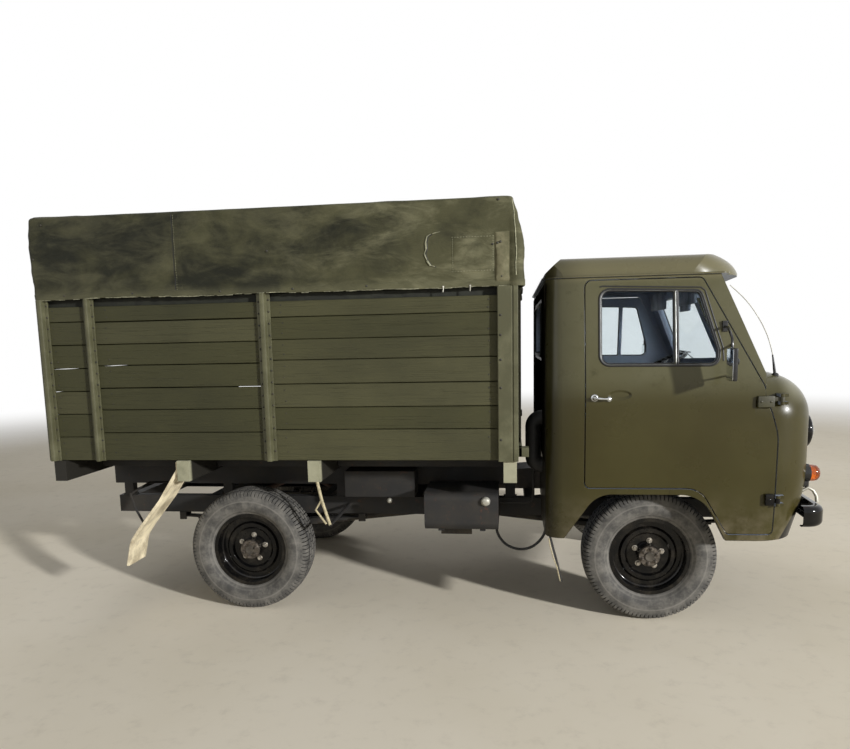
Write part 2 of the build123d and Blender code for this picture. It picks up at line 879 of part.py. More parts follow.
# Steering column and steering wheel, leaning ahead towards its foot
lean = radians(steering_column_lean)
wheel_centre = (front_axle_x + steering_wheel_x, steering_wheel_y, steering_wheel_z)
column_plane = Plane(origin=wheel_centre, x_dir=(0, 1, 0), z_dir=(-sin(lean), 0, cos(lean)))
column_length = (steering_wheel_z - foot_floor_z) / cos(lean)
with BuildPart() as steering_column:
    with BuildSketch(column_plane.offset(-column_length - 60)):
        Circle(24)
    extrude(amount=column_length)
    with BuildSketch(level(foot_floor_z)):
        rectangle(0, nose_tip, 0, cab_half_width)
    extrude(amount=drip_z, mode=Mode.INTERSECT)
    with BuildSketch(column_plane.offset(-60)):
        Circle(11)
    extrude(amount=40)
save(steering_column, "steering_column")
with BuildPart() as steering_wheel:
    with BuildSketch(Plane(origin=wheel_centre, x_dir=column_plane.x_dir, z_dir=column_plane.y_dir)):
        with Locations((steering_wheel_radius - 13, 0)):
            Circle(13)
    revolve(axis=Axis(wheel_centre, column_plane.z_dir))
    with BuildSketch(column_plane.offset(-14)):
        Circle(38)
        for turn in (90, 210, 330):
            with Locations(Rotation(0, 0, turn) * Location((steering_wheel_radius / 2 - 4, 0))):
                Rectangle(steering_wheel_radius - 18, 16)
    extrude(amount=16)
    with BuildSketch(column_plane.offset(-50)):
        Circle(26)
    extrude(amount=42)
    with BuildSketch(column_plane.offset(-50)):
        Circle(11 + running_gap)
    extrude(amount=31, mode=Mode.SUBTRACT)
save(steering_wheel, "steering_wheel")

# Frame: two channel rails open inwards, with the spring hangers riveted under them
springs = [(0.0, front_spring_half), (-wheelbase, rear_spring_half)]  # axle x, half length
hanger_inner_y = leaf_width / 2 + soft_gap
with BuildPart() as frame_rails:
    for sign in (-1, 1):
        with BuildSketch(station(rail_rear)):
            rectangle(*sorted((sign * rail_inner_y, sign * rail_outer_y)), rail_bottom_z, rail_top_z)
            rectangle(
                *sorted((sign * (rail_inner_y - 1), sign * (rail_outer_y - rail_wall))),
                rail_bottom_z + rail_wall,
                rail_top_z - rail_wall,
                mode=Mode.SUBTRACT,
            )
        extrude(amount=rail_front - rail_rear)
        for axle_x, half in springs:
            for eye_x in (axle_x - half, axle_x + half):
                hanger = box_rows(
                    eye_x - hanger_half, eye_x + hanger_half, spring_eye_z - hanger_half, rail_bottom_z, 0
                )
                for plate in (-1, 1):
                    plate_y = sign * rail_centre_y + plate * (hanger_inner_y + hanger_plate / 2)
                    with BuildSketch(side(plate_y + hanger_plate / 2)):
                        outline(hanger)
                    extrude(amount=hanger_plate)
                with BuildSketch(side(sign * rail_centre_y + hanger_inner_y)):
                    with Locations((eye_x, spring_eye_z)):
                        Circle(spring_pin_radius)
                extrude(amount=2 * hanger_inner_y)
save(frame_rails, "frame_rails")

# Cross-members fitted inside the channels, and the tow plate across the rails' rear ends
crossmember_stations = (560.0, -640.0, -1350.0, -1950.0, -2700.0, rail_rear + crossmember_width)
with BuildPart() as crossmembers:
    for centre in crossmember_stations:
        with BuildSketch(level(rail_bottom_z + rail_wall)):
            rectangle(
                centre - crossmember_width / 2,
                centre + crossmember_width / 2,
                -rail_outer_y + rail_wall,
                rail_outer_y - rail_wall,
            )
        extrude(amount=rail_height - 2 * rail_wall)
        with BuildSketch(level(rail_bottom_z + rail_wall)):
            rectangle(
                centre - crossmember_width / 2 + rail_wall,
                centre + crossmember_width / 2 - rail_wall,
                -rail_inner_y + crossmember_width / 2,
                rail_inner_y - crossmember_width / 2,
            )
        extrude(amount=rail_height - 3 * rail_wall, mode=Mode.SUBTRACT)
save(crossmembers, "frame_crossmembers")
with BuildPart() as tow_member:
    with BuildSketch(station(rail_rear - tow_plate)):
        rectangle(-rail_outer_y, rail_outer_y, rail_bottom_z, rail_top_z)
        with Locations((0, rail_bottom_z + rail_height / 2)):
            with GridLocations(tow_spacing_y, tow_spacing_z, 2, 2):
                Circle(tow_hole_radius, mode=Mode.SUBTRACT)
    extrude(amount=tow_plate)
save(tow_member, "tow_plate")


# Leaf springs, seated on the axle tubes and hung from the hangers' pins
def leaf_pack(axle_x, half, centre_y):
    """A stack of leaves on one centre of curvature, the longest on top with its rolled eyes."""
    top_radius = (half**2 + leaf_camber**2) / (2 * leaf_camber)
    centre_z = leaf_seat_z + leaf_count * leaf_thickness + top_radius
    with BuildPart() as pack:
        for leaf in range(leaf_count):
            reach = half * (1 - leaf / (leaf_count + 1))
            with BuildSketch(side(centre_y + leaf_width / 2)):
                with Locations((axle_x, centre_z)):
                    Circle(top_radius + (leaf + 1) * leaf_thickness)
                    Circle(top_radius + leaf * leaf_thickness, mode=Mode.SUBTRACT)
                with Locations((axle_x, leaf_seat_z)):
                    Rectangle(2 * reach, 4 * half, mode=Mode.INTERSECT)
            extrude(amount=leaf_width)
        for eye_x in (axle_x - half, axle_x + half):
            with BuildSketch(side(centre_y + leaf_width / 2)):
                with Locations((eye_x, spring_eye_z)):
                    Circle(spring_eye_radius)
            extrude(amount=leaf_width)
            with BuildSketch(side(centre_y + leaf_width / 2)):
                with Locations((eye_x, spring_eye_z)):
                    Circle(spring_pin_radius + running_gap)
            extrude(amount=leaf_width, mode=Mode.SUBTRACT)
    return pack.part


packs = [leaf_pack(axle_x, half, sign * rail_centre_y) for axle_x, half in springs for sign in (-1, 1)]
with BuildPart() as leaf_springs:
    add(packs)
save(leaf_springs, "leaf_springs")


# Axles: tubes with a bulging differential housing, its nose towards the transfer box
def axle_housing(axle_x, half_length, nose):
    """Tube, spring seats and differential of one axle."""
    with BuildPart() as housing:
        with BuildSketch(side(half_length)):
            with Locations((axle_x, tyre_radius)):
                Circle(axle_tube_radius)
        extrude(amount=2 * half_length)
        with BuildSketch(Plane((front_axle_x + axle_x, differential_y, tyre_radius), z_dir=(nose, 0, 0))):
            Circle(differential_nose)
        extrude(amount=differential_reach)
        with Locations((front_axle_x + axle_x, differential_y, tyre_radius)):
            Sphere(differential_radius)
        for sign in (-1, 1):
            with BuildSketch(level(tyre_radius)):
                rectangle(
                    axle_x - axle_tube_radius,
                    axle_x + axle_tube_radius,
                    sign * rail_centre_y - leaf_width / 2,
                    sign * rail_centre_y + leaf_width / 2,
                )
            extrude(amount=axle_tube_radius)
    return housing.part


wheel_inner_y = track / 2 - (spindle_reach + drum_depth + 4)
back_plate_y = wheel_inner_y - back_plate_gap - back_plate
front_housing = axle_housing(0.0, yoke_inner_y, -1)
rear_housing = axle_housing(-wheelbase, back_plate_y, 1)
ear_outer = knuckle_half_height + yoke_ear
with BuildPart() as front_axle:
    add(front_housing)
    for sign in (-1, 1):
        add(
            across(
                box_rows(-yoke_half, yoke_half, tyre_radius - ear_outer, tyre_radius + ear_outer),
                yoke_inner_y,
                yoke_inner_y + yoke_plate,
                (sign,),
            )
        )
        for low in (tyre_radius - ear_outer, tyre_radius + knuckle_half_height):
            with BuildSketch(level(low)):
                with Locations((0, sign * kingpin_y)):
                    Circle(yoke_half)
                rectangle(-yoke_half, yoke_half, *sorted((sign * yoke_inner_y, sign * kingpin_y)))
            extrude(amount=yoke_ear)
        with BuildSketch(level(tyre_radius - ear_outer)):
            with Locations((0, sign * kingpin_y)):
                Circle(kingpin_radius)
        extrude(amount=2 * ear_outer)
save(front_axle, "front_axle")


def wheel_disc(axle_x, radius, inner_y, outer_y, sign):
    """A round disc on the wheel's axis between two distances from the middle."""
    with BuildPart() as disc:
        with BuildSketch(side(sign * inner_y)):
            with Locations((axle_x, tyre_radius)):
                Circle(radius)
        extrude(amount=-sign * (outer_y - inner_y))
    return disc.part


spindle_tip_y = track / 2 + spindle_reach
with BuildPart() as rear_axle:
    add(rear_housing)
    for sign in (-1, 1):
        add(wheel_disc(-wheelbase, drum_radius, back_plate_y, back_plate_y + back_plate, sign))
        add(wheel_disc(-wheelbase, spindle_radius - running_gap, back_plate_y, spindle_tip_y, sign))
save(rear_axle, "rear_axle")

# Steering knuckles, each with its brake plate, spindle and arm
arm_high_z = tyre_radius - steer_arm_drop
arm_low_z = arm_high_z - steer_arm_plate
for word, sign in (("right", -1), ("left", 1)):
    with BuildPart() as knuckle:
        with BuildSketch(level(tyre_radius - knuckle_half_height + soft_gap)):
            with Locations((0, sign * kingpin_y)):
                Circle(knuckle_radius)
        extrude(amount=2 * (knuckle_half_height - soft_gap))
        add(wheel_disc(0, knuckle_radius + 10, kingpin_y, back_plate_y, sign))
        add(wheel_disc(0, drum_radius, back_plate_y, back_plate_y + back_plate, sign))
        add(wheel_disc(0, spindle_radius - running_gap, back_plate_y, spindle_tip_y, sign))
        with BuildSketch(level(arm_low_z)):
            with Locations((-steer_arm / 2, sign * kingpin_y)):
                Rectangle(steer_arm, 2 * steer_arm_half)
            with Locations((-steer_arm, sign * kingpin_y)):
                Circle(steer_arm_half + 5)
        extrude(amount=steer_arm_plate)
        with BuildSketch(level(arm_low_z)):
            with Locations((-steer_arm, sign * kingpin_y)):
                Circle(ball_pin_radius + running_gap)
        extrude(amount=steer_arm_plate, mode=Mode.SUBTRACT)
        with BuildSketch(level(tyre_radius - ear_outer)):
            with Locations((0, sign * kingpin_y)):
                Circle(kingpin_radius + running_gap)
        extrude(amount=2 * ear_outer, mode=Mode.SUBTRACT)
    save(knuckle, "knuckle_" + word)

# Tie rod under the two arms, its pins up through their bosses
tie_rod_z = arm_low_z - soft_gap - tie_rod_radius
with BuildPart() as tie_rod:
    with BuildSketch(side(kingpin_y + tie_rod_radius)):
        with Locations((-steer_arm, tie_rod_z)):
            Circle(tie_rod_radius)
    extrude(amount=2 * (kingpin_y + tie_rod_radius))
    for sign in (-1, 1):
        with BuildSketch(level(tie_rod_z)):
            with Locations((-steer_arm, sign * kingpin_y)):
                Circle(ball_pin_radius)
        extrude(amount=arm_high_z + 6 - tie_rod_z)
save(tie_rod, "tie_rod")


# Wheels: a revolved tyre on a revolved rim with its dished disc, hub and brake drum
def wheel_plane(axle_x, sign):
    """Half-section plane of a wheel: local x outboard from its middle, local y away from its axis."""
    centre = (front_axle_x + axle_x, sign * track / 2, tyre_radius)
    return Plane(centre, x_dir=(0, sign, 0), z_dir=(sign, 0, 0))


half_rim = rim_width / 2
flange_radius = bead_radius + rim_flange_height
barrel_radius = bead_radius - rim_sheet
disc_inner = disc_offset - disc_plate
ring_low = disc_ring_radius - disc_ring_width / 2
ring_high = disc_ring_radius + disc_ring_width / 2
tyre_rows = [
    (-half_rim, bead_radius, 0),
    (half_rim, bead_radius, 0),
    (half_rim, flange_radius + 4, 0),
    (tyre_width / 2, tyre_radius - 95, 60),
    (tyre_width / 2 - 14, tyre_radius - 18, 14),
    (tyre_width / 4, tyre_radius, 0),
    (-tyre_width / 4, tyre_radius, 0),
    (14 - tyre_width / 2, tyre_radius - 18, 14),
    (-tyre_width / 2, tyre_radius - 95, 60),
    (-half_rim, flange_radius + 4, 0),
]
rim_rows = [
    (-spindle_reach - drum_depth, spindle_radius, 0),
    (-spindle_reach - drum_depth, drum_radius, 0),
    (-spindle_reach, drum_radius, 0),
    (-spindle_reach, hub_radius + 8, 0),
    (disc_inner, hub_radius + 8, 0),
    (disc_inner, ring_low, 0),
    (disc_inner + disc_ring_rise, ring_low + 12, 0),
    (disc_inner + disc_ring_rise, ring_high - 12, 0),
    (disc_inner, ring_high, 0),
    (disc_inner, barrel_radius, 0),
    (-half_rim - rim_sheet, barrel_radius, 0),
    (-half_rim - rim_sheet, flange_radius, 0),
    (-half_rim, flange_radius, 0),
    (-half_rim, bead_radius, 0),
    (half_rim, bead_radius, 0),
    (half_rim, flange_radius, 0),
    (half_rim + rim_sheet, flange_radius, 0),
    (half_rim + rim_sheet, barrel_radius, 0),
    (disc_offset, barrel_radius, 12),
    (disc_offset, ring_high, 0),
    (disc_offset + disc_ring_rise, ring_high - 12, 0),
    (disc_offset + disc_ring_rise, ring_low + 12, 0),
    (disc_offset, ring_low, 0),
    (disc_offset, hub_radius, 0),
    (hub_reach - 12, hub_radius - 6, 0),
    (hub_reach, hub_radius / 2, 0),
    (hub_reach, 0, 0),
    (spindle_reach + 1, 0, 0),
    (spindle_reach + 1, spindle_radius, 0),
]
for end, axle_x in (("front", 0.0), ("rear", -wheelbase)):
    for word, sign in (("right", -1), ("left", 1)):
        wheel_axis = Axis((front_axle_x + axle_x, 0, tyre_radius), (0, 1, 0))
        for piece_name, rows in (("tyre", tyre_rows), ("rim", rim_rows)):
            with BuildPart() as wheel_piece:
                with BuildSketch(wheel_plane(axle_x, sign)):
                    outline(rows)
                revolve(axis=wheel_axis)
            save(wheel_piece, piece_name + "_" + end + "_" + word)

# Engine on its bearers, and gearbox with transfer box behind it on a cross-member
with BuildPart() as engine:
    with BuildSketch(side(engine_half_width)):
        outline(
            [
                (engine_rear, engine_bottom_z + 60, 30),
                (engine_front - 40, engine_bottom_z, 30),
                (engine_front, engine_bottom_z + 60, 30),
                (engine_front, engine_top_z - 90, 40),
                (engine_front - 90, engine_top_z, 40),
                (engine_rear, engine_top_z, 30),
            ]
        )
    extrude(amount=2 * engine_half_width)
    with BuildSketch(level(rail_top_z)):
        rectangle(engine_bearer_rear, engine_bearer_front, -rail_centre_y, rail_centre_y)
    extrude(amount=engine_bearer_height)
save(engine, "engine")
gearbox_bottom_z = rail_top_z - rail_wall
with BuildPart() as gearbox:
    with BuildSketch(side(gearbox_half_width)):
        outline(
            [
                (transfer_front, gearbox_bottom_z, 0),
                (engine_rear, gearbox_bottom_z, 0),
                (engine_rear, gearbox_bottom_z + gearbox_height, 20),
                (transfer_front, gearbox_bottom_z + gearbox_height - 40, 0),
            ]
        )
    extrude(amount=2 * gearbox_half_width)
    with BuildSketch(side(gearbox_half_width)):
        outline(box_rows(transfer_rear, transfer_front, transfer_bottom_z, transfer_top_z, 40))
    extrude(amount=gearbox_half_width - differential_y + 100)
save(gearbox, "gearbox")

# Propeller shafts from the transfer box to the two differentials
shaft_ends = [
    # transfer box x, its z, differential nose x
    (transfer_front, transfer_bottom_z + 55, -differential_reach),
    (transfer_rear, transfer_bottom_z + 70, -wheelbase + differential_reach),
]
with BuildPart() as propshafts:
    for start_x, start_z, end_x in shaft_ends:
        start = Vector(front_axle_x + start_x, differential_y, start_z)
        end = Vector(front_axle_x + end_x, differential_y, tyre_radius)
        with BuildSketch(Plane(origin=start, z_dir=end - start)):
            Circle(propshaft_radius)
        extrude(amount=(end - start).length + 20)
        with BuildSketch(Plane(origin=start, z_dir=start - end)):
            Circle(propshaft_radius)
        extrude(amount=20)
    add(gearbox.part, mode=Mode.SUBTRACT)
    add(front_axle.part, mode=Mode.SUBTRACT)
    add(rear_axle.part, mode=Mode.SUBTRACT)
save(propshafts, "propshafts")

# Fuel tanks on brackets outside the rails
with BuildPart() as fuel_tanks:
    tank_rows = [
        (tank_inner_y, tank_bottom_z, tank_corner),
        (tank_outer_y, tank_bottom_z, tank_corner),
        (tank_outer_y, tank_top_z, tank_corner),
        (tank_inner_y, tank_top_z, tank_corner),
    ]
    add(along(tank_rows, tank_rear, tank_front, mirrored=True))
    for bracket_x in (tank_rear + 90, tank_front - 90):
        for sign in (-1, 1):
            bracket_rows = [
                (sign * rail_outer_y, rail_bottom_z - tank_bracket, 0),
                (sign * (tank_outer_y - tank_corner), rail_bottom_z - tank_bracket, 0),
                (sign * (tank_outer_y - tank_corner), tank_bottom_z, 0),
                (sign * (rail_outer_y + tank_bracket), tank_bottom_z, 0),
                (sign * (rail_outer_y + tank_bracket), rail_top_z, 0),
                (sign * rail_outer_y, rail_top_z, 0),
            ]
            add(along(bracket_rows, bracket_x - tank_bracket * 2, bracket_x + tank_bracket * 2))
save(fuel_tanks, "fuel_tanks")


# Bumper: a bowed channel on two bars that pass through the nose into the rails
def bumper_rows(rear_x):
    """Plan outline of the bumper's outer face, closed at the rear."""
    return [
        (rear_x, -bumper_half_length, 0),
        (bumper_end_front, -bumper_half_length, bumper_end_radius),
        (bumper_tip, 0, bumper_face_radius),
        (bumper_end_front, bumper_half_length, bumper_end_radius),
        (rear_x, bumper_half_length, 0),
    ]


def bumper_form(rear_x, inset):
    """The bumper's outside with its rounded long edges, or its inside when inset."""
    low_z = bumper_bottom_z + inset
    high_z = bumper_bottom_z + bumper_height - inset
    with BuildPart() as form:
        with BuildSketch(level(low_z)):
            outline(bumper_rows(rear_x))
            if inset:
                offset(amount=-inset, kind=Kind.INTERSECTION)
        extrude(amount=high_z - low_z)
        rear_plane = front_axle_x + rear_x + inset
        long_edges = edges().filter_by(
            lambda edge: edge.center().X > rear_plane + 1
            and min(abs(edge.center().Z - low_z), abs(edge.center().Z - high_z)) < 1
        )
        fillet(long_edges, bumper_edge_radius - inset)
    return form.part


bumper_outside = bumper_form(bumper_end, 0)
bumper_inside = bumper_form(bumper_end - 2 * bumper_plate, bumper_plate)
bar_limit = bumper_form(bracket_rear, bumper_plate / 2)
with BuildPart() as bumper_bars:
    with BuildSketch(level(bracket_z)):
        for sign in (-1, 1):
            rectangle(
                bracket_rear, bumper_tip, *sorted((sign * bracket_y, sign * (bracket_y + bracket_width)))
            )
    extrude(amount=bracket_height)
    add(bar_limit, mode=Mode.INTERSECT)
with BuildPart() as bumper:
    add(bumper_outside)
    add(bumper_inside, mode=Mode.SUBTRACT)
    # The channel's flanges are open behind
    with BuildSketch(level(bumper_bottom_z)):
        outline(bumper_rows(bumper_end - bumper_flange))
        offset(amount=-bumper_flange, kind=Kind.INTERSECTION)
    extrude(amount=bumper_height, mode=Mode.SUBTRACT)
    add(bumper_bars.part)
save(bumper, "bumper")

# Headlamps in their holes in the nose, and turn lamps seated on its corners
bezel_radius = lamp_radius + 10
lamp_nose_x = nose_tip - lamp_seat_inset
lamp_dome_x = lamp_nose_x + lamp_bezel_depth
dome_radius = (lamp_radius**2 + lamp_dome_height**2) / (2 * lamp_dome_height)
dome_turn = asin(lamp_radius / dome_radius) / 2
dome_middle = (
    lamp_dome_x + lamp_dome_height - dome_radius * (1 - cos(dome_turn)),
    dome_radius * sin(dome_turn),
)
lamp_points = [
    (lamp_dome_x + lamp_dome_height, 0),
    (lamp_nose_x - 62, 0),
    (lamp_nose_x - 62, lamp_radius / 2),
    (lamp_nose_x - 20, lamp_radius),
    (lamp_nose_x, lamp_radius),
    (lamp_nose_x, bezel_radius),
    (lamp_dome_x, bezel_radius - 5),
    (lamp_dome_x, lamp_radius),
]
with BuildPart() as headlamps:
    for sign in (-1, 1):
        lamp_plane = Plane((front_axle_x, sign * lamp_y, lamp_z), x_dir=(1, 0, 0), z_dir=(0, -1, 0))
        with BuildSketch(lamp_plane):
            with BuildLine() as lamp_line:
                Polyline(*lamp_points)
                ThreePointArc(lamp_points[-1], dome_middle, lamp_points[0])
            make_face(lamp_line.edges())
        revolve(axis=Axis((front_axle_x, sign * lamp_y, lamp_z), (1, 0, 0)))
save(headlamps, "headlamps")
with BuildPart() as turn_lamps:
    for sign in (-1, 1):
        turn_lamp_tip_centre = (front_axle_x + turn_lamp_tip, sign * turn_lamp_y, turn_lamp_z)
        with BuildSketch(Plane(turn_lamp_tip_centre, z_dir=(-1, 0, 0))):
            Circle(turn_lamp_radius)
        extrude(amount=150)
    fillet(faces().filter_by(Axis.X).group_by(Axis.X)[-1].edges(), 16)
    add(outer_form, mode=Mode.SUBTRACT)
save(turn_lamps, "turn_lamps")

# Load bed floor, and the beams and sills that carry it on the rails
beam_stations = (-762.0, -1828.0, -2584.0, bed_rear + gate_gap + board_thickness + beam_width / 2)
floor_rear = bed_rear + board_thickness + gate_gap
with BuildPart() as bed_floor:
    with BuildSketch(level(bed_floor_z)):
        rectangle(floor_rear, bed_front - board_thickness, -side_inner_y, side_inner_y)
    extrude(amount=bed_floor_thickness)
save(bed_floor, "bed_floor")
gate_axis_x = bed_rear - gate_hinge_drop
gate_axis_z = bed_floor_z - gate_hinge_drop
gate_lug_offset = gate_hinge_length / 2 + 1
with BuildPart() as bed_beams:
    for centre in beam_stations:
        with BuildSketch(level(beam_bottom_z)):
            rectangle(centre - beam_width / 2, centre + beam_width / 2, -bed_half_width, bed_half_width)
        extrude(amount=beam_height)
    # Fixed lugs and pins of the tailgate's hinges
    for sign in (-1, 1):
        outer_lug_y = sign * gate_hinge_y + gate_lug_offset + gate_lug
        for lug_y in (sign * gate_hinge_y - gate_lug_offset, outer_lug_y):
            with BuildSketch(side(lug_y)):
                with Locations((gate_axis_x, gate_axis_z)):
                    Circle(hinge_barrel_radius)
                rectangle(gate_axis_x, floor_rear, gate_axis_z - hinge_barrel_radius, gate_axis_z)
            extrude(amount=gate_lug)
        with BuildSketch(side(outer_lug_y)):
            with Locations((gate_axis_x, gate_axis_z)):
                Circle(hinge_pin_radius)
        extrude(amount=2 * (gate_lug_offset + gate_lug))
save(bed_beams, "bed_beams")
flange_half = sill_flange_width / 2
with BuildPart() as bed_sills:
    for sign in (-1, 1):
        sill_low = sign * rail_centre_y - sill_width / 2
        sill_high = sign * rail_centre_y + sill_width / 2
        sill_rear = beam_stations[-1] - beam_width / 2
        sill_front = beam_stations[0] + beam_width / 2
        with BuildSketch(level(sill_bottom_z)):
            rectangle(sill_rear, sill_front, sill_low, sill_high)
        extrude(amount=sill_height)
        # Feet on the rails, each widened to a bolting flange
        for foot_x in (*beam_stations[:-1], rail_rear + bed_foot_length):
            with BuildSketch(level(rail_top_z)):
                rectangle(foot_x - bed_foot_length / 2, foot_x + bed_foot_length / 2, sill_low, sill_high)
            extrude(amount=sill_bottom_z - rail_top_z)
            with BuildSketch(level(rail_top_z)):
                rectangle(foot_x - flange_half, foot_x + flange_half, sill_low, sill_high)
            extrude(amount=sill_flange)
save(bed_sills, "bed_sills")


# Planked sides, front wall and tailgate: boards with gaps, held by posts
def boards(first_z, low_a, high_a):
    """Front- or side-view rectangles of the boards, from first_z up to the top."""
    for board in range(board_count):
        low_z = max(first_z, bed_floor_z + board * board_pitch)
        rectangle(low_a, high_a, low_z, bed_floor_z + (board + 1) * board_pitch - board_gap)


side_posts = [
    # rear edge, front edge
    (bed_rear, bed_rear + 70),
    (-3108, -3048),
    (-2108, -2035),
    (-824, bed_front),
]
with BuildPart() as bed_sides:
    for sign in (-1, 1):
        with BuildSketch(side(sign * side_inner_y)):
            boards(bed_floor_z, bed_rear, bed_front)
        extrude(amount=-sign * board_thickness)
        with BuildSketch(side(sign * bed_half_width)):
            for post_rear, post_front in side_posts:
                rectangle(post_rear, post_front, bed_floor_z, side_top_z)
        extrude(amount=-sign * post_depth)
save(bed_sides, "bed_sides")
wall_rail_z = bed_floor_top_z - wall_rail_lap
with BuildPart() as bed_front_wall:
    with BuildSketch(station(bed_front - board_thickness)):
        boards(bed_floor_z, -side_inner_y, side_inner_y)
    extrude(amount=board_thickness)
    with BuildSketch(station(bed_front)):
        for centre in (-wall_post_pitch, 0, wall_post_pitch):
            rectangle(centre - wall_post_half, centre + wall_post_half, bed_floor_top_z, side_top_z)
        rectangle(-bed_half_width, bed_half_width, wall_rail_z, wall_rail_z + wall_rail_height)
    extrude(amount=post_depth)
    with BuildSketch(station(bed_front)):
        for sign in (-1, 1):
            rectangle(
                *sorted((sign * (bed_half_width - wall_foot_width), sign * bed_half_width)),
                wall_rail_z,
                wall_rail_z + wall_rail_height,
            )
    extrude(amount=wall_foot_reach)
save(bed_front_wall, "bed_front_wall")
gate_half = side_inner_y - gate_gap
gate_bottom_z = gate_axis_z + hinge_barrel_radius + 3
with BuildPart() as tailgate:
    with BuildSketch(station(bed_rear)):
        boards(gate_bottom_z, -gate_half, gate_half)
    extrude(amount=board_thickness)
    with BuildSketch(station(bed_rear)):
        for sign in (-1, 1):
            rectangle(
                sign * gate_hinge_y - gate_hinge_length / 2,
                sign * gate_hinge_y + gate_hinge_length / 2,
                gate_axis_z,
                side_top_z - board_gap,
            )
    extrude(amount=-hinge_pin_radius)
    for sign in (-1, 1):
        with BuildSketch(side(sign * gate_hinge_y + gate_hinge_length / 2)):
            with Locations((gate_axis_x, gate_axis_z)):
                Circle(hinge_barrel_radius)
        extrude(amount=gate_hinge_length)
        with BuildSketch(side(sign * gate_hinge_y + gate_hinge_length / 2)):
            with Locations((gate_axis_x, gate_axis_z)):
                Circle(hinge_pin_radius + running_gap)
        extrude(amount=gate_hinge_length, mode=Mode.SUBTRACT)
save(tailgate, "tailgate")


# Tarpaulin and the bows that carry it
def tarp_form(inset):
    """Outside of the tarpaulin, or its inside when inset by its thickness."""
    with BuildPart() as form:
        with BuildSketch(level(tarp_bottom_z)):
            with Locations(((tarp_rear + tarp_front) / 2, 0)):
                RectangleRounded(
                    tarp_front - tarp_rear - 2 * inset,
                    2 * (tarp_half_width - inset),
                    tarp_side_radius - inset,
                )
        extrude(amount=tarp_top_z - inset - tarp_bottom_z)
        fillet(faces().sort_by(Axis.Z)[-1].edges(), tarp_top_radius - inset)
    return form.part


tarp_outer = tarp_form(0)
tarp_inner = tarp_form(tarp_thickness)
with BuildPart() as tarpaulin:
    add(tarp_outer)
    add(tarp_inner, mode=Mode.SUBTRACT)
save(tarpaulin, "tarpaulin")
bow_half = tarp_half_width - tarp_thickness - soft_gap
bow_top_z = tarp_top_z - tarp_thickness - soft_gap
bow_radius = tarp_top_radius - tarp_thickness
bow_pitch = (tarp_front - tarp_rear - 2 * tarp_top_radius - bow_width) / (bow_count - 1)
first_bow = tarp_rear + tarp_top_radius
with BuildPart() as tarp_frame:
    for bow in range(bow_count):
        with BuildSketch(station(first_bow + bow * bow_pitch)):
            outline(
                [
                    (-bow_half, side_top_z, 0),
                    (bow_half, side_top_z, 0),
                    (bow_half, bow_top_z, bow_radius + 4),
                    (-bow_half, bow_top_z, bow_radius + 4),
                ]
            )
            outline(
                [
                    (bow_depth - bow_half, side_top_z, 0),
                    (bow_half - bow_depth, side_top_z, 0),
                    (bow_half - bow_depth, bow_top_z - bow_depth, bow_radius - bow_depth + 4),
                    (bow_depth - bow_half, bow_top_z - bow_depth, bow_radius - bow_depth + 4),
                ],
                mode=Mode.SUBTRACT,
            )
        extrude(amount=bow_width)
    with BuildSketch(station(first_bow)):
        for centre in (-bow_half / 2, 0, bow_half / 2):
            rectangle(
                centre - batten_width / 2, centre + batten_width / 2, bow_top_z - batten_depth, bow_top_z
            )
    extrude(amount=(bow_count - 1) * bow_pitch + bow_width)
save(tarp_frame, "tarp_frame")

# Mudflaps: slanted boards behind the rear wheels, rubber flaps under the cab's rear edge
flap_root_x = beam_stations[2] - beam_width / 2
with BuildPart() as rear_flaps:
    add(
        across(
            [
                (flap_root_x, bed_floor_z - 10, 0),
                (flap_root_x, 868, 0),
                (-2738, 690, 120),
                (-2876, 522, 120),
                (-2928, 450, 120),
                (-2962, 310, 0),
                (-2976, 313, 0),
                (-2942, 458, 120),
                (-2888, 534, 120),
                (-2750, 702, 120),
                (flap_root_x - 14, 880, 0),
                (flap_root_x - 14, bed_floor_z - 10, 0),
            ],
            rear_flap_inner_y,
            rear_flap_outer_y,
        )
    )
save(rear_flaps, "rear_mudguards")
flap_x = cab_rear + cab_wall / 2
with BuildPart() as front_flaps:
    add(
        across(
            [
                (flap_x - flap_thickness / 2, cab_bottom_z, 0),
                (flap_x + front_flap_sweep - flap_thickness, front_flap_bottom_z, 0),
                (flap_x + front_flap_sweep, front_flap_bottom_z, 0),
                (flap_x + flap_thickness / 2, cab_bottom_z, 0),
            ],
            front_flap_inner_y,
            front_flap_outer_y,
        )
    )
save(front_flaps, "front_mudflaps")

# Tail lamps on the rear beam
with BuildPart() as tail_lamps:
    for sign in (-1, 1):
        lamp_centre = (front_axle_x + floor_rear, sign * tail_lamp_y, bed_floor_z - beam_height / 2)
        with BuildSketch(Plane(lamp_centre, z_dir=(-1, 0, 0))):
            Circle(tail_lamp_radius)
        extrude(amount=tail_lamp_depth)
save(tail_lamps, "tail_lamps")

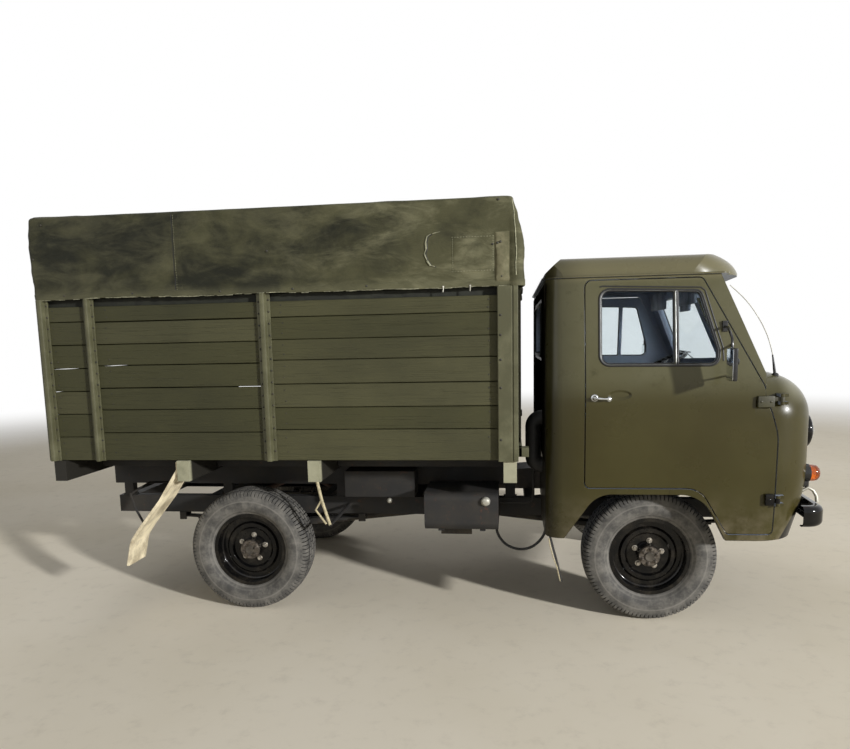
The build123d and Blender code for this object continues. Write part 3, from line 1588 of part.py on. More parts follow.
# Air duct looped out of the cab's rear wall, and the pipe from it to the right-hand tank
duct_x = cab_rear - duct_reach
with BuildPart() as air_duct:
    with BuildLine() as duct_path:
        FilletPolyline(
            (front_axle_x + cab_rear, duct_y, duct_top_z),
            (front_axle_x + duct_x, duct_y, duct_top_z),
            (front_axle_x + duct_x, duct_y, duct_bottom_z),
            (front_axle_x + cab_rear, duct_y, duct_bottom_z),
            radius=duct_bend,
        )
    with BuildSketch(Plane(origin=duct_path.line @ 0, z_dir=duct_path.line % 0)):
        Circle(duct_radius)
    sweep()
save(air_duct, "air_duct")
with BuildPart() as fuel_pipe:
    with BuildLine() as pipe_path:
        FilletPolyline(
            (front_axle_x + duct_x, duct_y, duct_bottom_z),
            (front_axle_x + duct_x, duct_y, pipe_z),
            (front_axle_x + tank_front, duct_y, pipe_z),
            radius=pipe_bend,
        )
    with BuildSketch(Plane(origin=pipe_path.line @ 0, z_dir=pipe_path.line % 0)):
        Circle(pipe_radius)
    sweep()
    add(air_duct.part, mode=Mode.SUBTRACT)
save(fuel_pipe, "fuel_pipe")

# Hanging hose from the tank's underside to the foot of the cab's rear wall, as (x, z) ahead of the axle
hose_route = [
    (-846, tank_bottom_z),
    (-846, 450),
    (-828, 400),
    (-785, 352),
    (-718, 327),
    (-642, 338),
    (-583, 388),
    (flap_x, 450),
    (flap_x, cab_bottom_z),
]
hose_points = [Vector(front_axle_x + x, hose_y, z) for x, z in hose_route]
hose_radii = []
for before, at, after in zip(hose_points, hose_points[1:], hose_points[2:]):
    turn = radians((at - before).get_angle(after - at))
    shorter = min((at - before).length, (after - at).length)
    hose_radii.append(0.45 * shorter / tan(turn / 2))
print("hose bend radii:", [round(radius) for radius in hose_radii])
with BuildPart() as hose:
    with BuildLine() as hose_path:
        FilletPolyline(*hose_points, radius=hose_radii)
    with BuildSketch(Plane(origin=hose_path.line @ 0, z_dir=hose_path.line % 0)):
        Circle(hose_radius)
    sweep()
save(hose, "drain_hose")
hose_length = sum(edge.length for edge in hose_path.edges())
hose_section = pi * hose_radius**2
print("hose length:", round(hose_length))
print("hose volume over section times length:", round(hose.part.volume / (hose_section * hose_length), 4))
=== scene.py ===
"""Looks of the cargo truck: finishes, canvas, planks, tyres, trim, studio and camera.

Metres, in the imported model's frame. Places written as (ahead, y, z) are millimetres ahead of the
front axle, to the truck's left and above the ground, and at() turns them into the frame.
"""
import math
import random

import bmesh
import bpy
from mathutils import Matrix, Vector, noise
from mathutils.bvhtree import BVHTree


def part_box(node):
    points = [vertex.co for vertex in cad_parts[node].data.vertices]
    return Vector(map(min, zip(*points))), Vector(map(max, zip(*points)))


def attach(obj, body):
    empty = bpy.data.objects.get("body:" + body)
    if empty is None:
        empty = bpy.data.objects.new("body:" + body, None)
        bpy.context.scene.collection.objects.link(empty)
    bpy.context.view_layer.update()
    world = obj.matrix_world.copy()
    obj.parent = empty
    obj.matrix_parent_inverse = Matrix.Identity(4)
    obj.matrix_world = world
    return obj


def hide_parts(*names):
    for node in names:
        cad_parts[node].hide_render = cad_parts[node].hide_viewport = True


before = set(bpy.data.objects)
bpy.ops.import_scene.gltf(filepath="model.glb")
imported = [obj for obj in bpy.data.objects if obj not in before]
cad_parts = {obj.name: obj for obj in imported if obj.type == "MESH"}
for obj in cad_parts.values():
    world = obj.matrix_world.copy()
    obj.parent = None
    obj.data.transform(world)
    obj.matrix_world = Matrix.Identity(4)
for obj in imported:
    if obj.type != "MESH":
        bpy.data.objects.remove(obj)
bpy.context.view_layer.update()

RIGHT, LEFT = -1, 1
SIDES = ((RIGHT, "right"), (LEFT, "left"))


def centre_of(node):
    """Middle of a node's box."""
    low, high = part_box(node)
    return (low + high) / 2


FRONT_AXLE_X = centre_of("rim_front_right").x


def at(ahead, y, z):
    """A point of the frame from millimetres ahead of the front axle, to the left and up."""
    return Vector((FRONT_AXLE_X + ahead / 1000, y / 1000, z / 1000))


def x_at(ahead):
    """The frame's x of a place, from millimetres ahead of the front axle."""
    return FRONT_AXLE_X + ahead / 1000


def route(points, side=1):
    """Points of the frame from (ahead, y, z) in millimetres, mirrored for the right side."""
    return [at(ahead, side * y, z) for ahead, y, z in points]


# Colours, written as they look on a screen


def shown(red, green, blue):
    """A linear colour from its 0 to 255 display values."""
    levels = [value / 255 for value in (red, green, blue)]
    return (*[v / 12.92 if v < 0.04045 else ((v + 0.055) / 1.055) ** 2.4 for v in levels], 1)


OLIVE = shown(54, 49, 20)
OLIVE_SKY_REFLECTION = shown(88, 86, 64)
OLIVE_ROOF_SKYLIGHT = shown(104, 99, 74)
OLIVE_NOSE_HIGHLIGHT = shown(128, 126, 108)
OLIVE_FADED = shown(68, 64, 33)
OLIVE_DARK = shown(52, 49, 23)
CAB_INSIDE_WITH_REFLECTION = shown(146, 156, 176)
PLANK = shown(66, 65, 42)
PLANK_WORN = shown(88, 86, 62)
PLANK_DARK = shown(38, 39, 27)
CANVAS_COLOUR = shown(74, 73, 52)
CANVAS_PALE = shown(112, 110, 86)
CANVAS_SHADOW = shown(30, 31, 23)
PALE_BEAM = shown(158, 156, 132)
DUST = shown(150, 138, 118)
RUST = shown(110, 62, 36)
TYRE = shown(62, 61, 59)
TYRE_DUST = shown(146, 142, 134)
GROOVE_SHADE = shown(30, 29, 28)


class Finish:
    """A material's node tree round its Principled shader, with a short method for each node."""

    def __init__(self, name, **sockets):
        self.material = bpy.data.materials.new(name)
        self.material.use_nodes = True
        self.tree = self.material.node_tree
        self.shader = self.tree.nodes["Principled BSDF"]
        for socket, value in sockets.items():
            self.shader.inputs[socket.replace("_", " ")].default_value = value

    def put(self, value, socket):
        """A number, a colour or another node's output into a socket."""
        if isinstance(value, bpy.types.NodeSocket):
            self.tree.links.new(value, socket)
        else:
            socket.default_value = value

    def node(self, kind, output, sockets=(), **settings):
        """An output of a new node, made with its settings and with what goes into its sockets."""
        made = self.tree.nodes.new("ShaderNode" + kind)
        for key, value in settings.items():
            setattr(made, key, value)
        for socket, value in dict(sockets).items():
            self.put(value, made.inputs[socket])
        return made.outputs[output]

    def place(self, stretch=(1, 1, 1)):
        """Coordinates in the object's own metres, stretched."""
        return self.node("Mapping", "Vector", {"Scale": stretch, "Vector": self.node("TexCoord", "Object")})

    def noise(self, scale, detail=4.0, roughness=0.55, stretch=(1, 1, 1), distortion=0.0):
        """Noise from 0 to 1."""
        sockets = {"Scale": scale, "Detail": detail, "Roughness": roughness, "Distortion": distortion}
        return self.node("TexNoise", "Fac", {**sockets, "Vector": self.place(stretch)})

    def ramp(self, value, low, high):
        """Value taken to 0 at low and 1 at high, with soft ends."""
        sockets = {"From Min": low, "From Max": high, "Value": value}
        return self.node("MapRange", "Result", sockets, interpolation_type="SMOOTHSTEP")

    def patches(self, low, high, *noise_settings):
        """Noise taken to 0 at low and 1 at high."""
        return self.ramp(self.noise(*noise_settings), low, high)

    def math(self, operation, first, second=0.0):
        """One sum."""
        return self.node("Math", "Value", {0: first, 1: second}, operation=operation)

    def scaled(self, value, amount, base=None):
        """A value times an amount, and a base added if there is one."""
        made = self.math("MULTIPLY", value, amount)
        return made if base is None else self.math("ADD", made, base)

    def mix(self, factor, first, second):
        """A colour between two."""
        return self.node("Mix", "Result", {"Factor": factor, "A": first, "B": second}, data_type="RGBA")

    def over(self, colour, second, value, amount):
        """A colour with a second one over it where a value is high, by an amount at most."""
        return self.mix(self.scaled(value, amount), colour, second)

    def attribute(self, name):
        """A number stored on the mesh."""
        return self.node("Attribute", "Fac", attribute_name=name)

    def axis(self, letter):
        """The object's own X, Y or Z in metres."""
        return self.node("SeparateXYZ", letter, {"Vector": self.place()})

    def facing(self, direction):
        """How far a direction agrees with the surface's own."""
        own = self.node("NewGeometry", "Normal")
        return self.node("VectorMath", "Value", {0: direction, 1: own}, operation="DOT_PRODUCT")

    def soften(self, radius):
        """Rounded edge normals."""
        return self.node("Bevel", "Normal", {"Radius": radius}, samples=4)

    def edges(self, radius):
        """1 on sharp edges, falling to 0 within a radius."""
        return self.ramp(self.facing(self.soften(radius)), 0.995, 0.86)

    def bump(self, height, distance, strength=1.0, normal=None):
        """Normals moved by a height."""
        sockets = {"Strength": strength, "Distance": distance, "Height": height}
        if normal is not None:
            sockets["Normal"] = normal
        return self.node("Bump", "Normal", sockets)

    def set(self, colour=None, roughness=None, normal=None, metallic=None):
        """Links outputs to the shader and returns the material."""
        wanted = (("Base Color", colour), ("Roughness", roughness), ("Normal", normal), ("Metallic", metallic))
        for socket, value in wanted:
            if value is not None:
                self.put(value, self.shader.inputs[socket])
        return self.material


def grime(f, clean, low_z, high_z, amount):
    """Clean colour with dust that thickens towards the ground."""
    height = f.ramp(f.axis("Z"), high_z, low_z)
    return f.over(clean, DUST, f.math("MULTIPLY", height, f.patches(0.32, 0.72, 9, 6, 0.65)), amount)


CAB_CENTRE = at(60, 0, 1250)
FOOT_SLANT = 0.65


def cab_paint():
    """Glossy olive coach paint, paler above the belt as a painted sky reflection, black at the nose's foot, blue-grey
    inside.
    """
    f = Finish("cab_paint", Coat_Weight=0.14, Coat_Roughness=0.10, Specular_IOR_Level=0.2)
    x, z = f.axis("X"), f.axis("Z")
    # Paler grey-green above the belt: painted reflection of the sky
    outside = f.mix(f.ramp(z, 1.20, 1.40), OLIVE, OLIVE_SKY_REFLECTION)
    outside = f.over(outside, OLIVE_FADED, f.patches(0.35, 0.7, 1.6, 5, 0.6), 0.5)
    outside = f.over(outside, OLIVE_DARK, f.patches(0.55, 0.8, 14, 6, 0.7), 0.7)
    # Paler roof: painted sky light on the top
    outside = f.over(outside, OLIVE_ROOF_SKYLIGHT, f.ramp(z, 1.84, 1.88), 0.8)
    # Paler nose top: painted highlight
    nose_highlight = f.math("MULTIPLY", f.ramp(x, x_at(590), x_at(690)), f.ramp(z, 1.19, 1.33))
    outside = grime(f, f.over(outside, OLIVE_NOSE_HIGHLIGHT, nose_highlight, 0.75), 0.50, 0.80, 0.30)
    # Sharp edges and door gaps painted darker: painted shade in the gaps
    outside = f.over(outside, shown(30, 28, 17), f.edges(0.006), 0.75)
    # Darker towards the rear corner: painted shade where the side turns away from the light
    shaded_rear_corner = f.mix(0.62, outside, shown(34, 32, 15))
    outside = f.mix(f.ramp(x, x_at(-330), x_at(-560)), outside, shaded_rear_corner)
    # Black paint below a slanted line at the nose's foot; the wall behind the cab painted dark as shade
    slant = f.math("SUBTRACT", x, f.scaled(z, FOOT_SLANT))
    edge_x = x_at(640) - FOOT_SLANT * 0.538
    foot = f.math("MULTIPLY", f.ramp(slant, edge_x, edge_x + 0.006), f.ramp(z, 0.692, 0.686))
    # Mask of the wall behind the cab, painted dark as shade
    rear = f.ramp(x, x_at(-568), x_at(-573))
    outside = f.mix(foot, outside, shown(16, 16, 16))
    outside = f.over(outside, shown(26, 24, 20), rear, 0.75)
    # The inside is what faces the cab's middle; its pale blue-grey has the windows' reflection painted in
    position = f.node("NewGeometry", "Position")
    from_middle = f.node("VectorMath", "Vector", {0: position, 1: CAB_CENTRE}, operation="SUBTRACT")
    inside = f.ramp(f.facing(from_middle), 0.0, -0.02)
    dents = f.bump(f.noise(3.2, 2, 0.4), 0.012, 0.30, f.soften(0.003))
    peel = f.bump(f.noise(260, 2, 0.5), 0.0004, 0.2, dents)
    dull = f.scaled(f.math("MAXIMUM", inside, rear), 0.35)
    dull = f.math("ADD", f.scaled(f.noise(5, 5, 0.6), 0.14, 0.22), dull)
    return f.set(f.mix(inside, outside, CAB_INSIDE_WITH_REFLECTION), dull, peel)


def plank_paint():
    """Olive paint on sawn boards, worn along the grain, each board with its own tone."""
    f = Finish("plank_paint", Specular_IOR_Level=0.22)
    grain = f.noise(5, 8, 0.65, (1.2, 40, 40), 0.6)
    tone = f.attribute("tone")
    colour = f.over(PLANK, f.mix(f.ramp(grain, 0.35, 0.68), PLANK_DARK, PLANK), tone, 0.55)
    colour = f.over(colour, PLANK_WORN, f.ramp(tone, 0.4, 1), 0.5)
    colour = f.over(colour, PLANK_WORN, f.patches(0.6, 0.78, 3, 8, 0.75, (1, 7, 7)), 0.45)
    # Boards darker towards the rear: painted shadow
    painted_rear_shadow = f.scaled(f.ramp(f.axis("X"), x_at(-1700), x_at(-2700)), 0.25)
    blotches = f.scaled(f.patches(0.42, 0.7, 1.3, 5, 0.6), 0.35)
    colour = f.mix(f.math("ADD", blotches, painted_rear_shadow), colour, PLANK_DARK)
    cracks = f.patches(0.62, 0.66, 4, 3, 0.5, (0.7, 60, 60))
    return f.set(colour, f.scaled(grain, 0.25, 0.42), f.bump(cracks, -0.002, 0.6, f.bump(grain, 0.0022, 0.7)))


def painted_steel(name, base, worn, shine, rust, dust_top=0.0):
    """Brushed-on paint on steel with worn edges, rust in patches and dust low down."""
    f = Finish(name, Specular_IOR_Level=0.5)
    colour = f.mix(f.patches(0.4, 0.75, 6, 6, 0.65), base, worn)
    colour = f.over(colour, RUST, f.patches(0.58, 0.7, 22, 8, 0.75), rust)
    colour = f.over(colour, worn, f.edges(0.003), 0.6)
    if dust_top:
        colour = grime(f, colour, 0.2, dust_top, 0.8)
    strokes = f.bump(f.noise(60, 4, 0.6, (1, 1, 5)), 0.0006, 0.4, f.soften(0.002))
    return f.set(colour, f.scaled(f.noise(12, 5), 0.3, shine), strokes)


def gloss_black(name, dust):
    """Gloss black paint with a film of dust."""
    f = Finish(name, Coat_Weight=0.25, Coat_Roughness=0.05, Specular_IOR_Level=0.15)
    film = f.scaled(f.patches(0.4, 0.8, 11, 7, 0.7), dust)
    waves = f.bump(f.noise(30, 3, 0.5), 0.0012, 0.3, f.soften(0.002))
    return f.set(f.mix(film, shown(9, 9, 10), DUST), f.scaled(film, 0.8, 0.14), waves)


def beam_paint():
    """Pale timber beams: painted ends, their lengths and the rearmost beam painted dark as shade under the floor."""
    f = Finish("beam_paint", Specular_IOR_Level=0.3)
    end = f.ramp(f.math("ABSOLUTE", f.axis("Y")), 0.955, 0.985)
    end = f.math("MULTIPLY", end, f.ramp(f.axis("X"), x_at(-3200), x_at(-3180)))
    pale = f.mix(f.patches(0.4, 0.75, 6, 6, 0.65), PALE_BEAM, shown(122, 122, 100))
    strokes = f.bump(f.noise(60, 4, 0.6, (1, 5, 5)), 0.0012, 0.5, f.soften(0.002))
    # Dark lengths: painted shade
    return f.set(f.mix(end, shown(34, 32, 27), pale), 0.65, strokes)


def tyre_rubber():
    """Dusty rubber, with painted shade darkening the grooves, and paler on the sidewall's ridges."""
    f = Finish("tyre_rubber", Specular_IOR_Level=0.35)
    ridges = f.attribute("proud")
    dusty = f.patches(0.3, 0.75, 16, 8, 0.7)
    colour = f.over(f.over(TYRE, TYRE_DUST, dusty, 0.55), TYRE_DUST, ridges, 0.4)
    colour = f.mix(f.ramp(ridges, -0.1, -0.7), colour, GROOVE_SHADE)
    return f.set(colour, f.scaled(dusty, 0.2, 0.68), f.bump(f.noise(180, 5, 0.7), 0.0012, 0.5))


def canvas():
    """Weathered proofed canvas: weave, faded folds, dry creases and dark dapples of painted shadow."""
    f = Finish("canvas", Specular_IOR_Level=0.15, Sheen_Weight=0.05, Sheen_Roughness=0.5)
    x = f.axis("X")
    # Dapples of painted shadow, more of them towards the rear
    shadow_dapples = f.scaled(f.ramp(x, x_at(-2700), x_at(-900)), 0.22)
    shadow_dapples = f.math("ADD", f.noise(3.4, 5, 0.6, (1, 1, 1.3), 0.4), shadow_dapples)
    colour = f.mix(f.ramp(shadow_dapples, 0.42, 0.80), CANVAS_SHADOW, CANVAS_COLOUR)
    streak = f.noise(4.5, 6, 0.65, (0.8, 0.8, 2.2), 0.5)
    # Pale faded streaks, stronger towards the front as painted light
    fade_and_front_light = f.scaled(f.ramp(x, x_at(-2200), x_at(-800)), 0.75, 0.25)
    colour = f.mix(f.math("MULTIPLY", f.ramp(streak, 0.42, 0.70), fade_and_front_light), colour, CANVAS_PALE)
    colour = f.over(colour, CANVAS_PALE, f.patches(0.62, 0.75, 26, 8, 0.8), 0.35)
    colour = f.over(colour, CANVAS_PALE, f.ramp(f.axis("Z"), 1.9, 1.835), 0.35)
    sockets = {"Scale": 190, "Distortion": 0.6, "Vector": f.place()}
    weave = f.node("TexWave", "Fac", sockets, wave_type="BANDS", bands_direction="DIAGONAL")
    creases = f.bump(f.noise(6, 7, 0.68, (0.8, 0.8, 1.8), 0.7), 0.014, 0.55)
    return f.set(colour, f.scaled(streak, 0.25, 0.55), f.bump(weave, 0.0006, 0.4, creases))


def plain(name, base, second, roughness, scale=12, depth=0.001, metallic=0.0, specular=0.5):
    """A simple two-tone finish with fine bump and rounded edges; a colour may be display values."""
    f = Finish(name, Metallic=metallic, Specular_IOR_Level=specular)
    base, second = (tint if len(tint) == 4 else shown(*tint) for tint in (base, second))
    tone = f.noise(scale, 6, 0.65)
    fine = f.bump(f.noise(scale * 8, 5, 0.6), depth, 0.4, f.soften(0.0015))
    return f.set(f.mix(f.ramp(tone, 0.35, 0.7), base, second), f.scaled(tone, 0.2, roughness - 0.1), fine)


def window_glass():
    """Clear pane with a faint blue-grey tint and a film of dust."""
    f = Finish("window_glass", Transmission_Weight=1.0, IOR=1.12, Specular_IOR_Level=0.5)
    film = f.patches(0.45, 0.9, 5, 7, 0.7)
    return f.set(f.over(shown(232, 238, 240), shown(196, 203, 205), film, 0.3), f.scaled(film, 0.06))


def clear_lens(name, tint, roughness=0.05):
    """Moulded lamp glass with fine ribs."""
    f = Finish(name, Transmission_Weight=0.85, IOR=1.45, Roughness=roughness)
    sockets = {"Scale": 40, "Vector": f.place()}
    ribs = f.node("TexWave", "Fac", sockets, wave_type="BANDS", bands_direction="Y")
    darker = (*[0.8 * value for value in tint[:3]], 1)
    return f.set(f.mix(f.patches(0.4, 0.8, 20, 4), tint, darker), None, f.bump(ribs, 0.002, 0.6))


def vinyl():
    """Dark worn seat cover with a leather grain."""
    f = Finish("vinyl", Specular_IOR_Level=0.4)
    sockets = {"Scale": 260, "Vector": f.place()}
    cells = f.node("TexVoronoi", "Distance", sockets, feature="DISTANCE_TO_EDGE")
    colour = f.mix(f.patches(0.4, 0.75, 6, 6, 0.7), shown(52, 47, 43), shown(84, 76, 68))
    return f.set(colour, f.scaled(f.noise(9, 5), 0.25, 0.35), f.bump(cells, 0.0008, 0.5))


PLAIN_FINISHES = [
    # key, material, two colours, roughness, scale, depth, metallic, specular
    ("shaded_wood", "shaded_wood", (34, 36, 26), (24, 25, 19), 0.8, 20, 0.002),
    # A dark matt sheet for the wall behind the cab: painted shade
    ("back_shade", "cab_back_shade_sheet", (34, 31, 24), (22, 20, 16), 0.9, 6, 0.002, 0.0, 0.0),
    ("bead", "bead_metal", (150, 152, 150), (112, 112, 108), 0.35, 18, 0.0004, 0.6),
    ("hinge", "hinge_paint", (58, 56, 34), (44, 42, 26), 0.45, 14, 0.0012),
    ("rusty", "exhaust_rust", (66, 44, 34), (42, 34, 30), 0.75, 18, 0.003),
    ("fold", "canvas_fold", (118, 114, 90), (92, 90, 68), 0.75, 24, 0.003, 0.0, 0.15),
    ("bulb", "bulb", (232, 228, 214), (206, 200, 184), 0.25, 30),
    ("pale_wood", "pale_edge", (196, 184, 150), (148, 140, 112), 0.7, 60, 0.002),
    ("thread", "thread", (168, 166, 140), (110, 112, 92), 0.9, 60),
    ("cream", "guard_paint", (255, 242, 208), (168, 155, 128), 0.6, 7, 0.002),
    ("rubber", "black_rubber", (26, 26, 26), (40, 39, 38), 0.6, 15),
    ("seal", "seal_rubber", (20, 20, 20), (32, 32, 31), 0.5, 30),
    ("chrome", "chrome", (205, 208, 210), (160, 160, 158), 0.16, 18, 0.0004, 1.0),
    ("mirror", "mirror_glass", (225, 228, 230), (205, 208, 210), 0.12, 3, 0.0001, 1.0),
    ("iron", "machine_iron", (70, 68, 65), (96, 88, 78), 0.6, 9, 0.003),
    ("hub", "hub_metal", (104, 96, 86), (52, 47, 42), 0.42, 70, 0.004, 0.6),
    ("nuts", "nut_metal", (200, 194, 182), (120, 112, 102), 0.32, 70, 0.003, 0.8),
    ("bolts", "bolt_steel", (38, 38, 32), (66, 60, 48), 0.5, 40, 0.001, 0.2),
    ("trim", "cab_trim", CAB_INSIDE_WITH_REFLECTION, (70, 78, 88), 0.55, 8),
    ("dash", "dash_black", (28, 29, 31), (44, 45, 48), 0.5, 10),
    ("wheel_plastic", "wheel_plastic", (20, 20, 21), (34, 34, 34), 0.25, 20),
    ("pale_metal", "pale_metal", (186, 184, 172), (140, 136, 124), 0.45, 14, 0.001, 0.3),
]
M = {key: plain(*row) for key, *row in PLAIN_FINISHES}
M.update({
    "cab_paint": cab_paint(),
    "planks": plank_paint(),
    "beams": beam_paint(),
    "tyres": tyre_rubber(),
    "canvas": canvas(),
    "vinyl": vinyl(),
    "glass": window_glass(),
    "gloss": gloss_black("trim_black", 0.02),
    "rims": gloss_black("rim_paint", 0.10),
    "bumper": gloss_black("bumper_paint", 0.02),
    "posts": painted_steel("post_paint", shown(70, 69, 45), shown(98, 97, 72), 0.4, 0.10),
    "chassis": painted_steel("chassis_paint", shown(24, 23, 22), shown(46, 42, 36), 0.6, 0.30, 0.50),
    "lens": clear_lens("lamp_glass", shown(240, 243, 245)),
    "orange": clear_lens("turn_lens", shown(232, 112, 30), 0.15),
    "red": clear_lens("tail_lens", shown(150, 20, 18), 0.15),
})

FINISH_NODES = {
    "cab_paint": "cab_front cab_back cab_roof door_left door_right door_fittings_left door_fittings_right"
                 " door_hinges",
    "glass": "cab_glass door_glass_left door_glass_right",
    "trim": "cab_floor engine_cover seat_frames",
    "planks": "bed_floor bed_sides bed_front_wall tailgate",
    "rubber": "front_mudflaps air_duct drain_hose",
    "iron": "engine gearbox", "dash": "dashboard", "vinyl": "seats", "wheel_plastic": "steering_wheel",
    "bumper": "bumper", "lens": "headlamps", "orange": "turn_lamps", "red": "tail_lamps",
    "beams": "bed_beams", "canvas": "tarpaulin", "posts": "tarp_frame", "cream": "rear_mudguards",
}
node_finish = {node: finish for finish, nodes in FINISH_NODES.items() for node in nodes.split()}
for node_name, node_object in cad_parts.items():
    finish_name = {"tyre": "tyres", "rim_": "rims"}.get(node_name[:4], "chassis")
    node_object.data.materials.clear()
    node_object.data.materials.append(M[node_finish.get(node_name, finish_name)])


# Mesh building


def placed(name, data):
    """A new object in the scene."""
    made = bpy.data.objects.new(name, data)
    bpy.context.scene.collection.objects.link(made)
    return made


def mesh_of(name, bm):
    """A mesh of what was built."""
    mesh = bpy.data.meshes.new(name)
    bm.to_mesh(mesh)
    bm.free()
    return mesh


def piece(name, bm, body, finish, smooth=35):
    """A named mesh that rides on a body, with its finish."""
    bmesh.ops.recalc_face_normals(bm, faces=bm.faces)
    mesh = mesh_of(name, bm)
    made = placed(name, mesh)
    mesh.materials.append(M[finish])
    mesh.shade_smooth()
    mesh.set_sharp_from_angle(angle=math.radians(smooth))
    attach(made, body)
    return made


def build(name, body, finish, slot, *steps, smooth=35):
    """A piece made in steps, each a function that adds to its mesh and what it is given."""
    bm = bmesh.new()
    for step, *given in steps:
        step(bm, *given)
    return piece(name, bm, body, finish, smooth)


def quads(bm, rows, closed=False, tone=None):
    """Faces between rows of points of one length; closed joins each row's ends."""
    layer = None
    if tone is not None:
        layer = bm.verts.layers.float.get("tone") or bm.verts.layers.float.new("tone")
    made = [[bm.verts.new(point) for point in row] for row in rows]
    for low, high in zip(made, made[1:]):
        count = len(low) if closed else len(low) - 1
        for i in range(count):
            j = (i + 1) % len(low)
            bm.faces.new((low[i], low[j], high[j], high[i]))
    if layer is not None:
        for row in made:
            for vertex in row:
                vertex[layer] = tone
    return made


def box(bm, low, high, bevel):
    """A box between two corners with rounded edges."""
    low, high = Vector(low), Vector(high)
    scale = Matrix.Diagonal((*(high - low), 1))
    made = bmesh.ops.create_cube(bm, size=1, matrix=Matrix.Translation((low + high) / 2) @ scale)
    edges = list({edge for vertex in made["verts"] for edge in vertex.link_edges})
    bmesh.ops.bevel(bm, geom=edges, offset=bevel, segments=2, profile=0.7, affect="EDGES")


def slab(bm, ahead, y, z, bevel):
    """A box from pairs of millimetres ahead of the front axle, to the left and up, in any order."""
    pairs = list(zip(sorted(ahead), sorted(y), sorted(z)))
    box(bm, at(*pairs[0]), at(*pairs[1]), bevel)


def frame_of(direction):
    """Two directions square to one direction."""
    direction = Vector(direction).normalized()
    other = Vector((0, 0, 1)) if abs(direction.z) < 0.9 else Vector((1, 0, 0))
    first = direction.cross(other).normalized()
    return first, direction.cross(first).normalized()


def lathe(bm, rows, centre, direction, steps=32):
    """Rows of (along, radius) turned about a direction through a centre; radius 0 closes an end."""
    direction = Vector(direction).normalized()
    first, second = frame_of(direction)
    rings = []
    for along, radius in rows:
        middle = Vector(centre) + along * direction
        if radius <= 0:
            rings.append([bm.verts.new(middle)])
            continue
        turns = [2 * math.pi * i / steps for i in range(steps)]
        rings.append([bm.verts.new(middle + radius * (math.cos(t) * first + math.sin(t) * second)) for t in turns])
    for low, high in zip(rings, rings[1:]):
        for i in range(steps):
            j = (i + 1) % steps
            if len(low) == 1 and len(high) > 1:
                bm.faces.new((low[0], high[i], high[j]))
            elif len(high) == 1 and len(low) > 1:
                bm.faces.new((low[i], low[j], high[0]))
            elif len(low) > 1:
                bm.faces.new((low[i], low[j], high[j], high[i]))


def tube(bm, points, radius, sides=10, closed=False, flat=1.0):
    """A tube of a radius along points, its ends capped; flat squeezes it along its second direction."""
    points = [Vector(p) for p in points]
    count = len(points)
    rings, first = [], None
    for i, point in enumerate(points):
        before = points[i - 1] if i or closed else point
        after = points[(i + 1) % count] if i < count - 1 or closed else point
        direction = (after - before).normalized()
        if first is None:
            first, second = frame_of(direction)
        first = (first - first.dot(direction) * direction).normalized()
        second = direction.cross(first)
        turns = [2 * math.pi * k / sides for k in range(sides)]
        width = radius[i] if isinstance(radius, (list, tuple)) else radius
        rings.append([bm.verts.new(point + width * (math.cos(t) * first + flat * math.sin(t) * second)) for t in turns])
    pairs = list(zip(rings, rings[1:])) + ([(rings[-1], rings[0])] if closed else [])
    for low, high in pairs:
        for k in range(sides):
            j = (k + 1) % sides
            bm.faces.new((low[k], low[j], high[j], high[k]))
    if not closed:
        bm.faces.new(rings[0])
        bm.faces.new(rings[-1])


def rounded(rows, steps=5):
    """Points of an outline given as (a, b, corner radius), with its corners as arcs."""
    points = []
    count = len(rows)
    for i, (a, b, radius) in enumerate(rows):
        here = Vector((a, b))
        before = (Vector(rows[i - 1][:2]) - here).normalized()
        after = (Vector(rows[(i + 1) % count][:2]) - here).normalized()
        if not radius:
            points.append(here)
            continue
        half = before.angle(after) / 2
        middle = here + (before + after).normalized() * radius / math.sin(half)
        start = here + before * radius / math.tan(half) - middle
        end = here + after * radius / math.tan(half) - middle
        for k in range(steps + 1):
            points.append(middle + start.slerp(end, k / steps) * radius)
    return points


def bolt_head(bm, centre, direction, radius, height, sides=6):
    """A hexagon head with a washer."""
    lathe(bm, [(0, 0), (0, 1.35 * radius), (0.2 * height, 1.35 * radius), (0.2 * height, 0)], centre, direction, 16)
    rows = [(0.2 * height, radius), (0.85 * height, radius), (height, 0.85 * radius), (height, 0)]
    lathe(bm, rows, centre, direction, sides)


def round_head(bm, centre, direction, radius, height):
    """A domed nail or coach-bolt head."""
    rows = [(0, radius), (0.35 * height, 0.95 * radius), (0.8 * height, 0.6 * radius), (height, 0)]
    lathe(bm, rows, centre, direction, 8)


def cord(name, points, radius, resolution, finish):
    """A NURBS cord through points, on the chassis."""
    curve = bpy.data.curves.new(name, "CURVE")
    curve.dimensions = "3D"
    curve.bevel_depth = radius
    curve.bevel_resolution = resolution
    curve.use_fill_caps = True
    line = curve.splines.new("NURBS")
    line.points.add(len(points) - 1)
    for control, point in zip(line.points, points):
        control.co = (*point, 1)
    line.order_u = 3
    line.use_endpoint_u = True
    curve.materials.append(M[finish])
    made = placed(name, curve)
    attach(made, "chassis")
    return made


# Camera where the photograph was taken, with its tilt and slight roll
CAMERA_PLACE = (0.4715, -4.5659, 1.5705)
CAMERA_RIGHT = Vector((0.99231669, 0.12192155, -0.02104078))
CAMERA_DOWN = Vector((-0.00481637, -0.13186702, -0.99125571))
camera_data = bpy.data.cameras.new("camera")
camera_data.sensor_width = 36.0
camera_data.lens = 28.855
camera_data.shift_y = 0.0659
camera = placed("camera", camera_data)
turn = Matrix((CAMERA_RIGHT, -CAMERA_DOWN, CAMERA_RIGHT.cross(-CAMERA_DOWN))).transposed()
camera.matrix_world = Matrix.Translation(CAMERA_PLACE) @ turn.to_4x4()
bpy.context.scene.camera = camera

